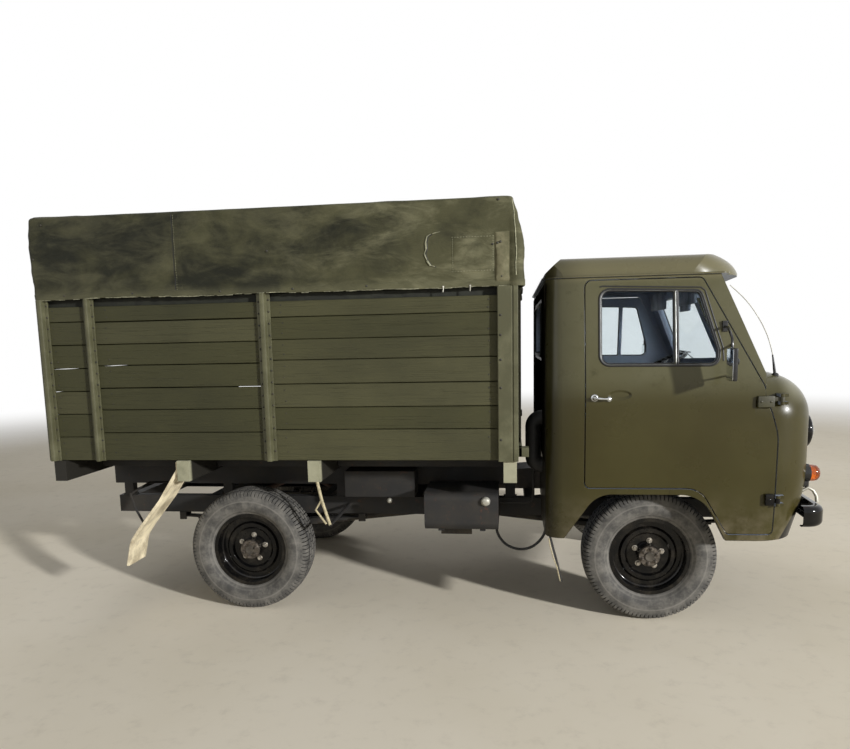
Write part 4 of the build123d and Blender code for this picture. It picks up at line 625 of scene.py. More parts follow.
# Hanging hose
HOSE_RADIUS = 0.008
HOSE_Y = -600
hose_route = route((ahead, HOSE_Y, z) for ahead, z in (
    (-846, 495), (-846, 450), (-828, 400), (-785, 352), (-718, 327),
    (-642, 338), (-583, 388), (-552.5, 450), (-552.5, 508),
))
hose = cord("hose", hose_route, HOSE_RADIUS, 4, "rubber")
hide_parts("drain_hose")


# Tarpaulin: one sheet over the bows, sagging between them
TARP_LOW, TARP_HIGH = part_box("tarpaulin")
TARP_CORNER = 0.024
TARP_EDGE = 0.018
SHEET_INSET = 0.0035
BOW_PITCH = 0.6227
BOW_FIRST = TARP_LOW.x + 0.080
BATTEN_Y = (TARP_HIGH.y - 0.0083) / 2
TARP_HALF = (TARP_HIGH - TARP_LOW) / 2 - Vector((SHEET_INSET, SHEET_INSET, 0))
TARP_MIDDLE = (TARP_HIGH + TARP_LOW) / 2
TARP_WALL = TARP_HIGH.z - TARP_EDGE - TARP_LOW.z
# Lengths that the walls and corners take in the sheet's own measure, from the right wall round
TARP_ROUND = [2 * TARP_HALF.x, 0.12, 2 * TARP_HALF.y, 0.12] * 2


def tarp_point(turn_share, rise):
    """A point of the undisturbed sheet and its outward direction, from its place round and up."""
    fillet = TARP_EDGE * math.pi / 2
    if rise <= TARP_WALL:
        inset, z, lift = 0.0, TARP_LOW.z + rise, 0.0
    elif rise <= TARP_WALL + fillet:
        lift = (rise - TARP_WALL) / TARP_EDGE
        inset, z = TARP_EDGE * (1 - math.cos(lift)), TARP_HIGH.z - TARP_EDGE + TARP_EDGE * math.sin(lift)
    else:
        inset, z, lift = TARP_EDGE + rise - TARP_WALL - fillet, TARP_HIGH.z, math.pi / 2
    corner = max(0.008, TARP_CORNER - 0.5 * inset)
    side_x, side_y = (max(half - inset - corner, 0.0) for half in TARP_HALF.xy)
    along = turn_share * sum(TARP_ROUND)
    part = 0
    while part < 7 and along > TARP_ROUND[part]:
        along -= TARP_ROUND[part]
        part += 1
    share = along / TARP_ROUND[part]
    quarter = part // 2
    heading = [Vector((1, 0, 0)), Vector((0, 1, 0)), Vector((-1, 0, 0)), Vector((0, -1, 0))][quarter]
    out = Vector((heading.y, -heading.x, 0))
    reach_out = (side_y if quarter % 2 == 0 else side_x) + corner
    reach_along = side_x if quarter % 2 == 0 else side_y
    if part % 2 == 0:
        flat = heading * (2 * share - 1) * reach_along + out * reach_out
        normal = out
    else:
        angle = share * math.pi / 2
        normal = out * math.cos(angle) + heading * math.sin(angle)
        flat = heading * reach_along + out * (reach_out - corner) + normal * corner
    point = Vector((TARP_MIDDLE.x + flat.x, TARP_MIDDLE.y + flat.y, z))
    return point, normal * math.cos(lift) + Vector((0, 0, 1)) * math.sin(lift)


def canvas_rest(point, wall):
    """The lowest that the canvas may lie over the bows and battens that carry it."""
    bow = min(4, max(0, round((point.x - BOW_FIRST) / BOW_PITCH)))
    free = abs(point.x - BOW_FIRST - bow * BOW_PITCH) - 0.022
    if wall:
        return -0.0020 - 0.14 * max(0.0, free)
    free = min(free, abs(abs(point.y) - BATTEN_Y) - 0.024, abs(point.y) - 0.024)
    return -0.0030 - 0.14 * max(0.0, free)


def canvas_offset(point, normal):
    """How far the canvas stands out of or sags into its plain form."""
    beat = (point.x - BOW_FIRST) / BOW_PITCH
    between = math.sin(math.pi * (beat % 1.0)) ** 2 if 0 < beat < 4 else 0.0
    roof = max(0.0, normal.z) * min(1.0, max(0.0, (TARP_HIGH.y - abs(point.y) - 0.03) / 0.25))
    wall = 1 - max(0.0, normal.z)
    held = min(1.0, 0.15 + abs(TARP_HIGH.z - point.z) / 0.10)
    sag = -0.024 * roof * between - 0.003 * wall * between * held
    folds = 0.0050 * noise.noise(Vector((point.x * 2.2, point.y * 2.2, point.z * 6.5)))
    folds += 0.0026 * noise.noise(Vector((point.x * 6 + 9, point.y * 6, point.z * 19)))
    slant = Vector((point.x * 5 - point.z * 9 + 31, point.y * 5, point.z * 9))
    creases = 0.0022 * max(-1.5, 1 - 4 * abs(noise.noise(slant)))
    loose = min(1.0, max(0.0, (TARP_HIGH.z - TARP_EDGE - point.z) / 0.12))
    hang = 0.005 * loose * noise.noise(Vector((point.x * 3.1 + 5, point.y * 3.1, 2.0)))
    bulge = 0.012 * wall * max(0.0, -normal.x) * math.sin(math.pi * min(1.0, (point.z - TARP_LOW.z) / 0.44))
    lower = min(1.0, max(0.0, (TARP_HIGH.z - 0.02 - point.z) / 0.20))
    bulge += 0.040 * wall * max(0.0, normal.x) ** 2 * lower * (1 - 0.45 * math.cos(9 * point.y))
    total = sag + (folds + creases) * max(held if wall else 1.0, roof) + hang + bulge
    if normal.z > 0.7:
        return max(total, canvas_rest(point, False))
    return max(total, canvas_rest(point, True)) if abs(normal.y) > 0.7 else total


def canvas_drop(point):
    """How much lower the bottom edge hangs at a place, from bow to bow."""
    return 0.006 * noise.noise(Vector((point.x * 2.4, point.y * 2.4, 7.7))) - 0.002


def canvas_surface(turn_share, rise, proud=0.0):
    """A point of the real, wrinkled sheet."""
    point, normal = tarp_point(turn_share, rise)
    low = max(0.0, 1 - rise / 0.25)
    out = point + normal * (canvas_offset(point, normal) + proud)
    return out + Vector((0, 0, canvas_drop(point) * low))


def make_tarpaulin():
    """The sheet as rings from its bottom edge to the ridge, closed over the top."""
    bm = bmesh.new()
    fillet = TARP_EDGE * math.pi / 2
    top = TARP_HALF.y - TARP_EDGE
    rises = [TARP_WALL * i / 39 for i in range(40)] + [TARP_WALL + fillet * (i + 1) / 6 for i in range(6)]
    rises += [TARP_WALL + fillet + (top - 0.002) * (i + 1) / 26 for i in range(26)]
    around = 620
    rows = [[canvas_surface(i / around, rise) for i in range(around)] for rise in rises]
    bm.faces.new(quads(bm, rows, closed=True)[-1])
    bmesh.ops.remove_doubles(bm, verts=bm.verts, dist=0.0008)
    sheet = piece("tarpaulin_sheet", bm, "chassis", "canvas", 60)
    thick = sheet.modifiers.new("thick", "SOLIDIFY")
    thick.thickness = 0.0022
    thick.offset = -1
    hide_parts("tarpaulin")
    return sheet


tarp_sheet = make_tarpaulin()


# Tyres with tread blocks and sidewall ridges
TREAD_PITCHES = 96
TREAD_STEPS = (0.0, 0.13, 0.5, 0.87)
tyre_half_section = [
    (0.0750, 0.2050), (0.0765, 0.2140), (0.0830, 0.2235), (0.0930, 0.2330), (0.1020, 0.2440), (0.1080, 0.2560),
    (0.1115, 0.2680), (0.1128, 0.2800), (0.1122, 0.2920), (0.1100, 0.3050), (0.1070, 0.3170), (0.1040, 0.3280),
    (0.1010, 0.3380), (0.0960, 0.3470), (0.0880, 0.3535), (0.0800, 0.3560), (0.0700, 0.3575), (0.0560, 0.3595),
    (0.0420, 0.3605), (0.0280, 0.3612), (0.0140, 0.3617), (0.0, 0.3620),
]


def fine_section(coarse, steps):
    """A section's points with straight stretches cut finer."""
    fine = []
    for (a, b), (c, d) in zip(coarse, coarse[1:]):
        fine += [(a + (c - a) * i / steps, b + (d - b) * i / steps) for i in range(steps)]
    return fine + [coarse[-1]]


def tyre_relief(y, radius, pitch_share, pitch_number):
    """How far the rubber stands proud, in metres, at a place on the section and round the tyre."""
    ridge = sum(math.exp(-(((radius - place) / 0.0022) ** 2)) for place in (0.2285, 0.2420, 0.2990, 0.3080))
    relief = 0.0016 * ridge
    side = abs(y)
    on_tread = max(0.0, min(1.0, (radius - 0.330) / 0.008))
    groove = max(math.exp(-(((side - place) / 0.0042) ** 4)) for place in (0.0185, 0.0520))
    if side > 0.056:
        cut = 1.0 if pitch_share < 0.01 else 0.0
        depth = 0.0085 * min(1.0, max(0.0, (radius - 0.326) / 0.012))
        relief -= depth * cut
    else:
        row = 1 if side > 0.0185 else 0
        cut = 1.0 if (pitch_share < 0.01 and (pitch_number + row) % 2 == 0) else 0.0
        relief -= 0.0075 * cut * on_tread
    return relief - 0.0085 * groove * on_tread


TYRE_TURN = {"tyre_front_right": 0.1, "tyre_front_left": 0.9, "tyre_rear_right": 2.1, "tyre_rear_left": 1.4}


def make_tyre(end, side, word):
    """One tyre as rings of its section, turned a step at a time."""
    node = "tyre_" + end + "_" + word
    centre = centre_of(node)
    section = fine_section(tyre_half_section, 2)
    section = section + [(-y, r) for y, r in reversed(section[:-1])]
    bm = bmesh.new()
    layer = bm.verts.layers.float.new("proud")
    rings = []
    for number in range(TREAD_PITCHES):
        for share in TREAD_STEPS:
            angle = 2 * math.pi * (number + share) / TREAD_PITCHES + 0.7 * TYRE_TURN[node]
            ring = []
            for i, (y, radius) in enumerate(section):
                relief = tyre_relief(y, radius, share, number)
                before, after = section[max(i - 1, 0)], section[min(i + 1, len(section) - 1)]
                normal = Vector((after[1] - before[1], before[0] - after[0])).normalized()
                if y < 0 and normal.x > 0 or y > 0 and normal.x < 0:
                    normal = -normal
                if radius > 0.34 and normal.y < 0:
                    normal = -normal
                out_y, out_r = y + normal.x * relief, radius + normal.y * relief
                place = Vector((out_r * math.sin(angle), side * out_y, out_r * math.cos(angle)))
                vertex = bm.verts.new(place)
                vertex[layer] = max(-1.0, min(1.0, relief / (0.0016 if relief > 0 else 0.006)))
                ring.append(vertex)
            rings.append(ring)
    for ring, following in zip(rings, rings[1:] + rings[:1]):
        for i in range(len(ring) - 1):
            bm.faces.new((ring[i], ring[i + 1], following[i + 1], following[i]))
        bm.faces.new((ring[-1], ring[0], following[0], following[-1]))
    bmesh.ops.recalc_face_normals(bm, faces=bm.faces)
    mesh = mesh_of("tread_" + end + "_" + word, bm)
    made = placed(mesh.name, mesh)
    made.location = centre
    mesh.materials.append(M["tyres"])
    mesh.shade_smooth()
    mesh.set_sharp_from_angle(angle=math.radians(38))
    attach(made, "wheel_" + end + "_" + word)
    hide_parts(node)


# Hubs on the black wheels: corroded flange, nuts and dark centre
NUT_COUNT = 6
NUT_CIRCLE = 0.047


def make_hub(end, side, word):
    """Flange, nuts and cap of one wheel's hub."""
    rim = centre_of("rim_" + end + "_" + word)
    face_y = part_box("rim_" + end + "_" + word)[1 if side > 0 else 0].y
    out = Vector((0, side, 0))
    body = "wheel_" + end + "_" + word
    centre = Vector((rim.x, face_y, rim.z))
    flange = [(-0.012, 0.028), (-0.012, 0.0585), (-0.004, 0.0585), (0.001, 0.055), (0.001, 0.026), (-0.012, 0.026)]
    steps = [(lathe, flange, centre, out, 36)]
    for number in range(NUT_COUNT):
        angle = 2 * math.pi * number / NUT_COUNT + 0.35
        nut = centre + Vector((NUT_CIRCLE * math.cos(angle), 0, NUT_CIRCLE * math.sin(angle))) * 0.88
        steps.append((bolt_head, nut, out, 0.0095, 0.011))
        steps.append((lathe, [(0.011, 0.005), (0.017, 0.005), (0.0185, 0.0035), (0.0185, 0)], nut, out, 10))
    build("hub_flange_" + end + "_" + word, body, "hub", "machine_iron", *steps)
    rows = [(-0.002, 0.026), (0.006, 0.0255), (0.009, 0.023), (0.0065, 0.016), (0.007, 0.0)]
    build("hub_cap_" + end + "_" + word, body, "chassis", "chassis_paint", (lathe, rows, centre, out, 32))


for end_name in ("front", "rear"):
    for side_sign, side_word in SIDES:
        make_tyre(end_name, side_sign, side_word)
        make_hub(end_name, side_sign, side_word)


# Planked load body, in millimetres
BED_TOP = 1840
BED_REAR, BED_FRONT = -3390, -718
BED_LOW = 933
BOARD_OUT = 986
BOARD_IN = 972
BOARD_TOP = 1800
RIB = 34  # how far a post's rib stands out of the boards
side_posts = [(-3390, -3320), (-3108, -3048), (-2108, -2035), (-824, -718)]
panel_joints = [
    # rear end, front end, heights of the gaps between boards
    (-3390, -3078, (1068, 1198, 1328, 1457, 1588, 1716)),
    (-3078, -2071, (1092, 1221, 1344, 1471, 1588, 1712)),
    (-2071, -718, (1105, 1226, 1354, 1484, 1594, 1713)),
]


def plank(bm, start, end, low, high, inner, outer, seed, across=False):
    """A sawn board with rounded edges, a little bowed and uneven; across runs it along y."""
    rows = []
    dice = random.Random(seed)
    tone = dice.random()
    lean = dice.uniform(-1.2, 1.2)
    count = max(2, int((end - start) / 90))
    edge = 2.5
    away = math.copysign(1, outer - inner)
    section = [
        (low, inner), (low, outer - away * edge), (low + edge, outer), (high - edge, outer),
        (high, outer - away * edge), (high, inner),
    ]
    for i in range(count + 1):
        along = start + (end - start) * i / count
        row = []
        for up, out in section:
            wave = noise.noise(Vector((along * 0.004, up * 0.01, seed * 3.7)))
            jag = noise.noise(Vector((along * 0.02, up * 0.3, seed * 1.9)))
            new_up = up + 0.9 * jag
            new_out = out + away * (1.4 * wave + lean * (up - low) / (high - low))
            row.append(at(new_out, along, new_up) if across else at(along, new_out, new_up))
        rows.append(row)
    made = quads(bm, rows, closed=True, tone=tone)
    bm.faces.new(made[0])
    bm.faces.new(made[-1])


def prism(bm, outline, low, high):
    """An outline of (ahead, y) in millimetres run up from one height to another."""
    made = quads(bm, [[at(ahead, y, z) for ahead, y in outline] for z in (low, high)], closed=True)
    bm.faces.new(made[0])
    bm.faces.new(made[-1])


def post_outline(rear, front, side):
    """Plan of a pressed post: bolted flanges and a raised rib with rounded edges."""
    flange = 0.26 * (front - rear)
    half = [(0, -2), (0, 6), (flange, 7), (flange + 3, RIB - 7), (flange + 6, RIB - 2), (flange + 11, RIB)]
    profile = [(rear + x, y) for x, y in half] + [(front - x, y) for x, y in half[::-1]]
    return [(ahead, side * (BOARD_OUT + y)) for ahead, y in profile]


def boards_of(panel):
    """Number, low and high height of each board of a panel."""
    levels = [BED_LOW, *panel_joints[panel][2], BOARD_TOP]
    return list(enumerate(zip(levels, levels[1:])))


def make_side(side, word):
    """Boards, top rail, posts, bolts and nails of one side of the load body."""
    bm = bmesh.new()
    for panel, (rear, front, _) in enumerate(panel_joints):
        for number, (low, high) in boards_of(panel):
            seed = 10 * panel + number + (0 if side < 0 else 50)
            gap = 1.3 + 1.5 * random.Random(seed + 7).random()
            plank(bm, rear, front - 1, low + gap, high - gap, BOARD_IN, BOARD_OUT, seed)
    if side < 0:
        bmesh.ops.scale(bm, vec=(1, -1, 1), verts=bm.verts)
    made = piece("side_boards_" + word, bm, "chassis", "planks", 30)
    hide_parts("bed_sides")
    rail = (slab, (BED_REAR, BED_FRONT), (side * 930, side * 960), (1780, BED_TOP), 0.003)
    build("side_rail_" + word, "chassis", "shaded_wood", "bed_paint", rail)
    rear, front = side_posts[-1]
    edge = [
        (rear, -2), (rear, RIB - 4), (rear + 4, RIB), (front - 34, RIB), (front - 31, RIB - 5), (front - 26, RIB - 5),
        (front - 23, RIB), (front - 2, RIB), (front, RIB - 2), (front, -2),
    ]
    outlines = [post_outline(*post, side) for post in side_posts[:-1]]
    outlines.append([(ahead, side * (BOARD_OUT + y)) for ahead, y in edge])
    steps = [(prism, outline, BED_LOW, BED_TOP) for outline in outlines]
    build("side_posts_" + word, "chassis", "posts", "bed_paint", *steps)
    bm = bmesh.new()
    out = Vector((0, side, 0))
    for rear, front in side_posts[:-1]:
        for column, lift in ((rear + 9, 0), (front - 8, 9)):
            for number in range(14):
                place = at(column, side * (BOARD_OUT + 6), BED_LOW + 45 + number * 63 + lift)
                round_head(bm, place, out, 0.0058, 0.0045)
    for height in (1049, 1321, 1466, 1593, 1694):
        round_head(bm, at(side_posts[-1][0] + 16, side * (BOARD_OUT + RIB), height), out, 0.0068, 0.005)
    for panel, (rear, front, _) in enumerate(panel_joints):
        for number, (low, high) in boards_of(panel):
            for along in (rear + 96, front - 150 if panel == 2 else front - 50):
                for share in (0.28, 0.74):
                    jitter = random.Random(panel * 97 + number * 13 + int(share * 10)).uniform(-6, 6)
                    place = at(along + jitter, side * (BOARD_OUT + 1), low + share * (high - low))
                    round_head(bm, place, out, 0.0038, 0.0022)
    piece("side_bolts_" + word, bm, "chassis", "bolts")


END_JOINTS = (1062, 1192, 1322, 1451, 1581, 1711)


def end_boards(name, body, low_end, high_end, half, inner, outer, seed):
    """Boards across the load body between two heights, each clear of the next."""
    bm = bmesh.new()
    for number, (low, high) in enumerate(zip([low_end, *END_JOINTS], [*END_JOINTS, high_end])):
        plank(bm, -half, half, low + 2, high - 2, inner, outer, seed + number, True)
    return piece(name, bm, body, "planks", 30)


def make_ends():
    """Boards of the front wall and of the tailgate, with their posts, straps and hinges."""
    made = end_boards("front_boards", "chassis", BED_LOW, BED_TOP, 971, BED_FRONT - 25, BED_FRONT, 90)
    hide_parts("bed_front_wall")
    face = (BED_FRONT - 1, BED_FRONT + 20)
    steps = [(slab, face, (centre - 30, centre + 30), (955, BED_TOP), 0.003) for centre in (-620, 0, 620)]
    steps.append((slab, face, (-1000, 1000), (955, 1005), 0.003))
    for side in (-1, 1):
        steps.append((slab, (BED_FRONT, BED_FRONT + 54), (side * 940, side * 1000), (955, 1005), 0.003))
    build("front_wall_posts", "chassis", "posts", "bed_paint", *steps)
    made = end_boards("gate_boards", "tailgate", 943, 1836, 965, BED_REAR + 25, BED_REAR + 1, 120)
    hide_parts("tailgate")
    straps, bolts = [], []
    hinge = [(-0.030, 0), (-0.030, 0.012), (0.030, 0.012), (0.030, 0)]
    for centre in (-620, 620):
        straps.append((slab, (BED_REAR - 6, BED_REAR + 2), (centre - 30, centre + 30), (925, 1836), 0.002))
        straps.append((lathe, hinge, at(BED_REAR - 8, centre, 925), (0, 1, 0), 20))
        for number in range(9):
            bolts.append((round_head, at(BED_REAR - 6, centre, 990 + 100 * number), (-1, 0, 0), 0.007, 0.005))
    straps.append((slab, (BED_REAR - 5, BED_REAR + 2), (-200, -100), (1300, 1350), 0.002))
    build("gate_straps", "tailgate", "posts", "bed_paint", *straps)
    for side in (-1, 1):
        loop = [(-4, 930, 1720), (-22, 930, 1725), (-24, 930, 1780), (-4, 930, 1785)]
        bolts.append((tube, route([(BED_REAR + x, y, z) for x, y, z in loop], side), 0.006, 8))
    build("gate_bolts", "tailgate", "bolts", "bed_paint", *bolts)


make_ends()
for side_sign, side_word in SIDES:
    make_side(side_sign, side_word)


# Canvas trimmings: hem, seams, patch, tear, corner fold and nails


def round_share(wall, place):
    """Place round the sheet of a point of the right, front, left or rear wall (0 to 3), in metres of the frame."""
    half, middle = TARP_HALF[wall % 2], TARP_MIDDLE[wall % 2]
    along = (place - middle) * (1 if wall < 2 else -1)
    share = (along / (half - TARP_CORNER) + 1) / 2
    return (sum(TARP_ROUND[: 2 * wall]) + share * TARP_ROUND[2 * wall]) / sum(TARP_ROUND)


def right_share(ahead):
    """Place round the sheet of a point of the right wall, from millimetres ahead of the front axle."""
    return round_share(0, x_at(ahead))


def rise_of(z):
    """Place up the sheet of a height in millimetres on its walls."""
    return z / 1000 - TARP_LOW.z


def lap(bm, start, end, low, high, proud, columns=8, rows=12):
    """A layer of canvas on the sheet between two places round it and up it, its edges turned in."""
    across = [0.0, *[0.03 + 0.94 * k / columns for k in range(columns + 1)], 1.0]
    up = [0.0, *[0.03 + 0.94 * k / rows for k in range(rows + 1)], 1.0]
    grid = []
    for v in up:
        row = []
        for u in across:
            lift = -0.0012
            if 0 < u < 1 and 0 < v < 1:
                lift = proud(u, v) if callable(proud) else proud
            row.append(canvas_surface(start + (end - start) * u, low + (high - low) * v, lift))
        grid.append(row)
    quads(bm, grid)


def canvas_line(bm, points, radius, proud=0.0015, sides=6, steps=8):
    """A thread or fold line on the sheet through (place round, place up) points."""
    path = []
    for (a, b), (c, d) in zip(points, points[1:]):
        path += [canvas_surface(a + (c - a) * k / steps, b + (d - b) * k / steps, proud) for k in range(steps)]
    path.append(canvas_surface(*points[-1], proud))
    tube(bm, path, radius, sides)


def stitches(bm, start, end, low, high, pitch, vertical):
    """A row of stitches along the sheet."""
    length = (high - low) if vertical else (end - start) * 7.4
    count = max(2, int(abs(length) / pitch))
    for k in range(count):
        first, last = (k + 0.2) / count, (k + 0.7) / count
        if vertical:
            pair = [(start, low + (high - low) * t) for t in (first, last)]
        else:
            pair = [(start + (end - start) * t, low) for t in (first, last)]
        canvas_line(bm, pair, 0.0011, 0.002, 4, 1)


HEM = [
    # height over the sheet's edge and how far the hem stands out there
    (0.0, -0.002), (-0.001, 0.0018), (0.004, 0.0038), (0.012, 0.0030), (0.026, 0.0026), (0.031, 0.0018),
    (0.033, -0.001),
]
HEM_STEPS = 640
SEAM = -2547
TEAR = [
    (-1159, 2111), (-1178, 2100), (-1186, 2070), (-1184, 2037), (-1194, 2015), (-1180, 1980), (-1163, 1956),
    (-1140, 1950),
]
NAILS = [
    (-814, 2267), (-805, 2060), (-820, 2055), (-2030, 2058), (-800, 1890), (-3300, 2240), (-845, 2050), (-1500, 1862),
    (-1900, 1860), (-2300, 1861), (-2800, 1860), (-3200, 1862), (-3366, 2060),
]


def on_sheet(ahead, z):
    """Place round and up the sheet of a point of its right wall, in millimetres."""
    return right_share(ahead), rise_of(z)


def canvas_threads(bm, patch):
    """Stitches round the patch and along the seam, the mended tear and the frayed edge."""
    start, end, low, high = patch
    for side in (low + 0.007, high - 0.007):
        stitches(bm, start, end, side, side, 0.011, False)
    for side in (start + 0.0009, end - 0.0009):
        stitches(bm, side, side, low, high, 0.011, True)
    stitches(bm, right_share(SEAM + 6), 0, 0.03, TARP_WALL, 0.012, True)
    for k, pair in enumerate(zip(TEAR, TEAR[1:])):
        canvas_line(bm, [on_sheet(*place) for place in pair], 0.0022 + 0.0014 * ((k * 7) % 3), 0.003, 6, 3)
    canvas_line(bm, [on_sheet(-1150, 2113), on_sheet(-1112, 2121)], 0.0016, 0.002, 6, 4)
    dice = random.Random(4)
    for number in range(150):
        share = right_share(-3340 + number * 17.3)
        if dice.random() < 0.55:
            drop = Vector((0, 0, dice.uniform(-0.003, 0.001)))
            path = [canvas_surface(share + 0.0020 * k, 0.0, 0.0022 + 0.001 * k) + drop for k in range(3)]
            tube(bm, path, dice.uniform(0.0008, 0.0018), 5)
    corner = (2 * TARP_HALF.x + 0.06) / (4 * (TARP_HALF.x + TARP_HALF.y) + 0.48)
    canvas_line(bm, [(corner, 0.05), (corner, TARP_WALL)], 0.0028, 0.0006, 6, 40)


def canvas_trim():
    """Everything sewn, torn or nailed on the sheet; returns the pieces."""
    rows = []
    for rise, proud in HEM:
        under = Vector((0, 0, min(rise, 0.0)))
        rows.append([canvas_surface(i / HEM_STEPS, max(rise, 0.0), proud) + under for i in range(HEM_STEPS)])
    seam, mirror = right_share(SEAM), round_share(2, x_at(SEAM))
    up_seam = (0.030, TARP_WALL - 0.002, 0.0024, 4, 40)
    patch = (right_share(-1057), right_share(-834), rise_of(1915), rise_of(2097))
    seam_shadow = seam - 0.0004
    gap = [on_sheet(ahead + 6, z - 2) for ahead, z in TEAR]
    made = [
        build("canvas_hem", "chassis", "canvas", "canvas", (quads, rows, True), smooth=60),
        build("canvas_laps", "chassis", "canvas", "canvas",
              (lap, seam, seam + 0.0040, *up_seam),
              (lap, mirror - 0.0040, mirror, *up_seam),
              (lap, *patch, 0.0018, 10, 10), smooth=60),
        # Dark lines painted as shade under the seam's lap and inside the tear
        build("canvas_shade_lines", "chassis", "seal", "canvas",
              (canvas_line, [(seam_shadow, 0.032), (seam_shadow, TARP_WALL)], 0.0016, 0.0002, 6, 40),
              (canvas_line, gap, 0.0030, 0.0003, 6, 4), smooth=60),
        build("canvas_thread", "chassis", "thread", "canvas", (canvas_threads, patch), smooth=60),
        build("canvas_fold", "chassis", "fold", "canvas",
              (lap, right_share(-833), right_share(-752), rise_of(1868), rise_of(2112),
               lambda u, v: 0.0022 + 0.002 * u, 6, 14),
              (lap, right_share(-829), right_share(-762), rise_of(1862), rise_of(2062),
               lambda u, v: 0.0060 + 0.010 * math.sin(math.pi * u) * math.sin(math.pi * min(1.0, v * 1.1)),
               10, 14), smooth=60),
    ]
    nails, hooks = [], []
    for ahead, z in NAILS:
        over_fold = -840 < ahead < -755 and z < 2100
        place = canvas_surface(*on_sheet(ahead, z), 0.008 if over_fold else 0.0026)
        nails.append((round_head, place, (0, -1, 0), 0.0062, 0.004))
    for ahead in (-1100, -961):
        top = canvas_surface(right_share(ahead), 0.004, 0.005)
        path = [top + Vector(step) for step in ((0, 0, 0), (0.001, -0.002, -0.014), (-0.001, -0.001, -0.026))]
        hooks.append((tube, path, 0.0028, 8))
        hooks.append((round_head, top + Vector((0, 0, 0.001)), (0, -1, 0), 0.006, 0.004))
    made.append(build("canvas_nails", "chassis", "bolts", "bow_steel", *nails))
    made.append(build("canvas_hooks", "chassis", "pale_metal", "bow_steel", *hooks))
    return made


canvas_trim()


# Cab trim, seated on the panels
CAB_SKIN = 965


def door_skin(z):
    """Half width of the cab's side at a height, in millimetres."""
    if z < 1260:
        return CAB_SKIN
    if z < 1339:
        return CAB_SKIN - 500 + math.sqrt(500**2 - (z - 1260) ** 2)
    return CAB_SKIN - (z - 1300) * 0.16034


def faces_of(*nodes):
    """A tree of the nodes' faces, to seat trim on."""
    points, faces = [], []
    for node in nodes:
        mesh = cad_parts[node].data
        start = len(points)
        points += [vertex.co.copy() for vertex in mesh.vertices]
        faces += [[start + i for i in polygon.vertices] for polygon in mesh.polygons]
    return BVHTree.FromPolygons(points, faces)


CAB_FACES = faces_of("cab_front", "cab_back", "cab_roof")
SCREEN_FACES = faces_of("cab_front", "cab_glass")

WHEEL_NUT_COUNT = 5
WHEEL_NUT_CIRCLE = 0.076


def make_nuts(end, side, word):
    """Bright wheel nuts seated on the disc of one rim."""
    disc = faces_of("rim_" + end + "_" + word)
    rim = centre_of("rim_" + end + "_" + word)
    steps = []
    for number in range(WHEEL_NUT_COUNT):
        angle = 2 * math.pi * number / WHEEL_NUT_COUNT + 0.2
        away = WHEEL_NUT_CIRCLE * Vector((math.cos(angle), 0, math.sin(angle)))
        start = Vector((rim.x + away.x, side * 1.2, rim.z + away.z))
        seat = disc.ray_cast(start, Vector((0, -side, 0)))[0]
        steps.append((bolt_head, seat - Vector((0, side * 0.0005, 0)), (0, side, 0), 0.0120, 0.016))
    build("wheel_nuts_" + end + "_" + word, "wheel_" + end + "_" + word, "nuts", "chassis_paint", *steps)


for end_name in ("front", "rear"):
    for side_sign, side_word in SIDES:
        make_nuts(end_name, side_sign, side_word)


def grown(points, amount):
    """A closed outline's points moved outwards."""
    middle = sum(points, Vector((0, 0))) / len(points)
    moved = []
    for i, point in enumerate(points):
        run = points[(i + 1) % len(points)] - points[i - 1]
        out = Vector((run.y, -run.x)).normalized()
        moved.append(point + out * (amount if out.dot(point - middle) > 0 else -amount))
    return moved


def dense(points, step=25, closed=True):
    """Points with their long runs cut finer."""
    fine = []
    pairs = list(zip(points, points[1:] + points[:1])) if closed else list(zip(points, points[1:]))
    for a, b in pairs:
        count = max(1, int((b - a).length / step))
        fine += [a + (b - a) * k / count for k in range(count)]
    return fine if closed else fine + [points[-1]]


MAIN_WINDOW = [(-292, 1430, 45), (76, 1427, 10), (76, 1799, 10), (-290, 1812, 45)]
VENT_WINDOW = [(94, 1427, 10), (286, 1424, 40), (288, 1500, 30), (203, 1792, 30), (94, 1798, 10)]
DOOR_WINDOW = [(-292, 1430, 45), (286, 1424, 40), (288, 1500, 30), (203, 1792, 30), (-290, 1812, 45)]
SCREEN = [(48, 1425, 35), (795, 1400, 45), (735, 1818, 45), (48, 1835, 35)]
REAR_PANE = [(-430, 1470, 60), (430, 1470, 60), (430, 1770, 60), (-430, 1770, 60)]


def side_ring(outline, amount, side, lift):
    """A closed path on the door's skin round a window outline."""
    return [at(p.x, side * (door_skin(p.y) + lift), p.y) for p in dense(grown(rounded(outline), amount))]


WINDOW_HEIGHTS = range(1425, 1802, 25)
WINDOW_PRESS = [(-296, 1829), (-282, 1832), (208, 1813), (228, 1796), (311, 1508), (314, 1440)]
HANDLE_LEVER = [
    (-334, 24, 1263), (-326, 28, 1261), (-306, 30, 1258), (-284, 29, 1256), (-262, 26, 1255), (-244, 21, 1256),
]
HINGE_ARMS = [
    # name, finish, height of the barrel, lower and upper edge, rear and front end
    ("hinge_arm_high_", "hinge", 1245, 1204, 1261, 474, 554),
    ("hinge_arm_low_", "gloss", 726, 700, 760, 530, 570),
]


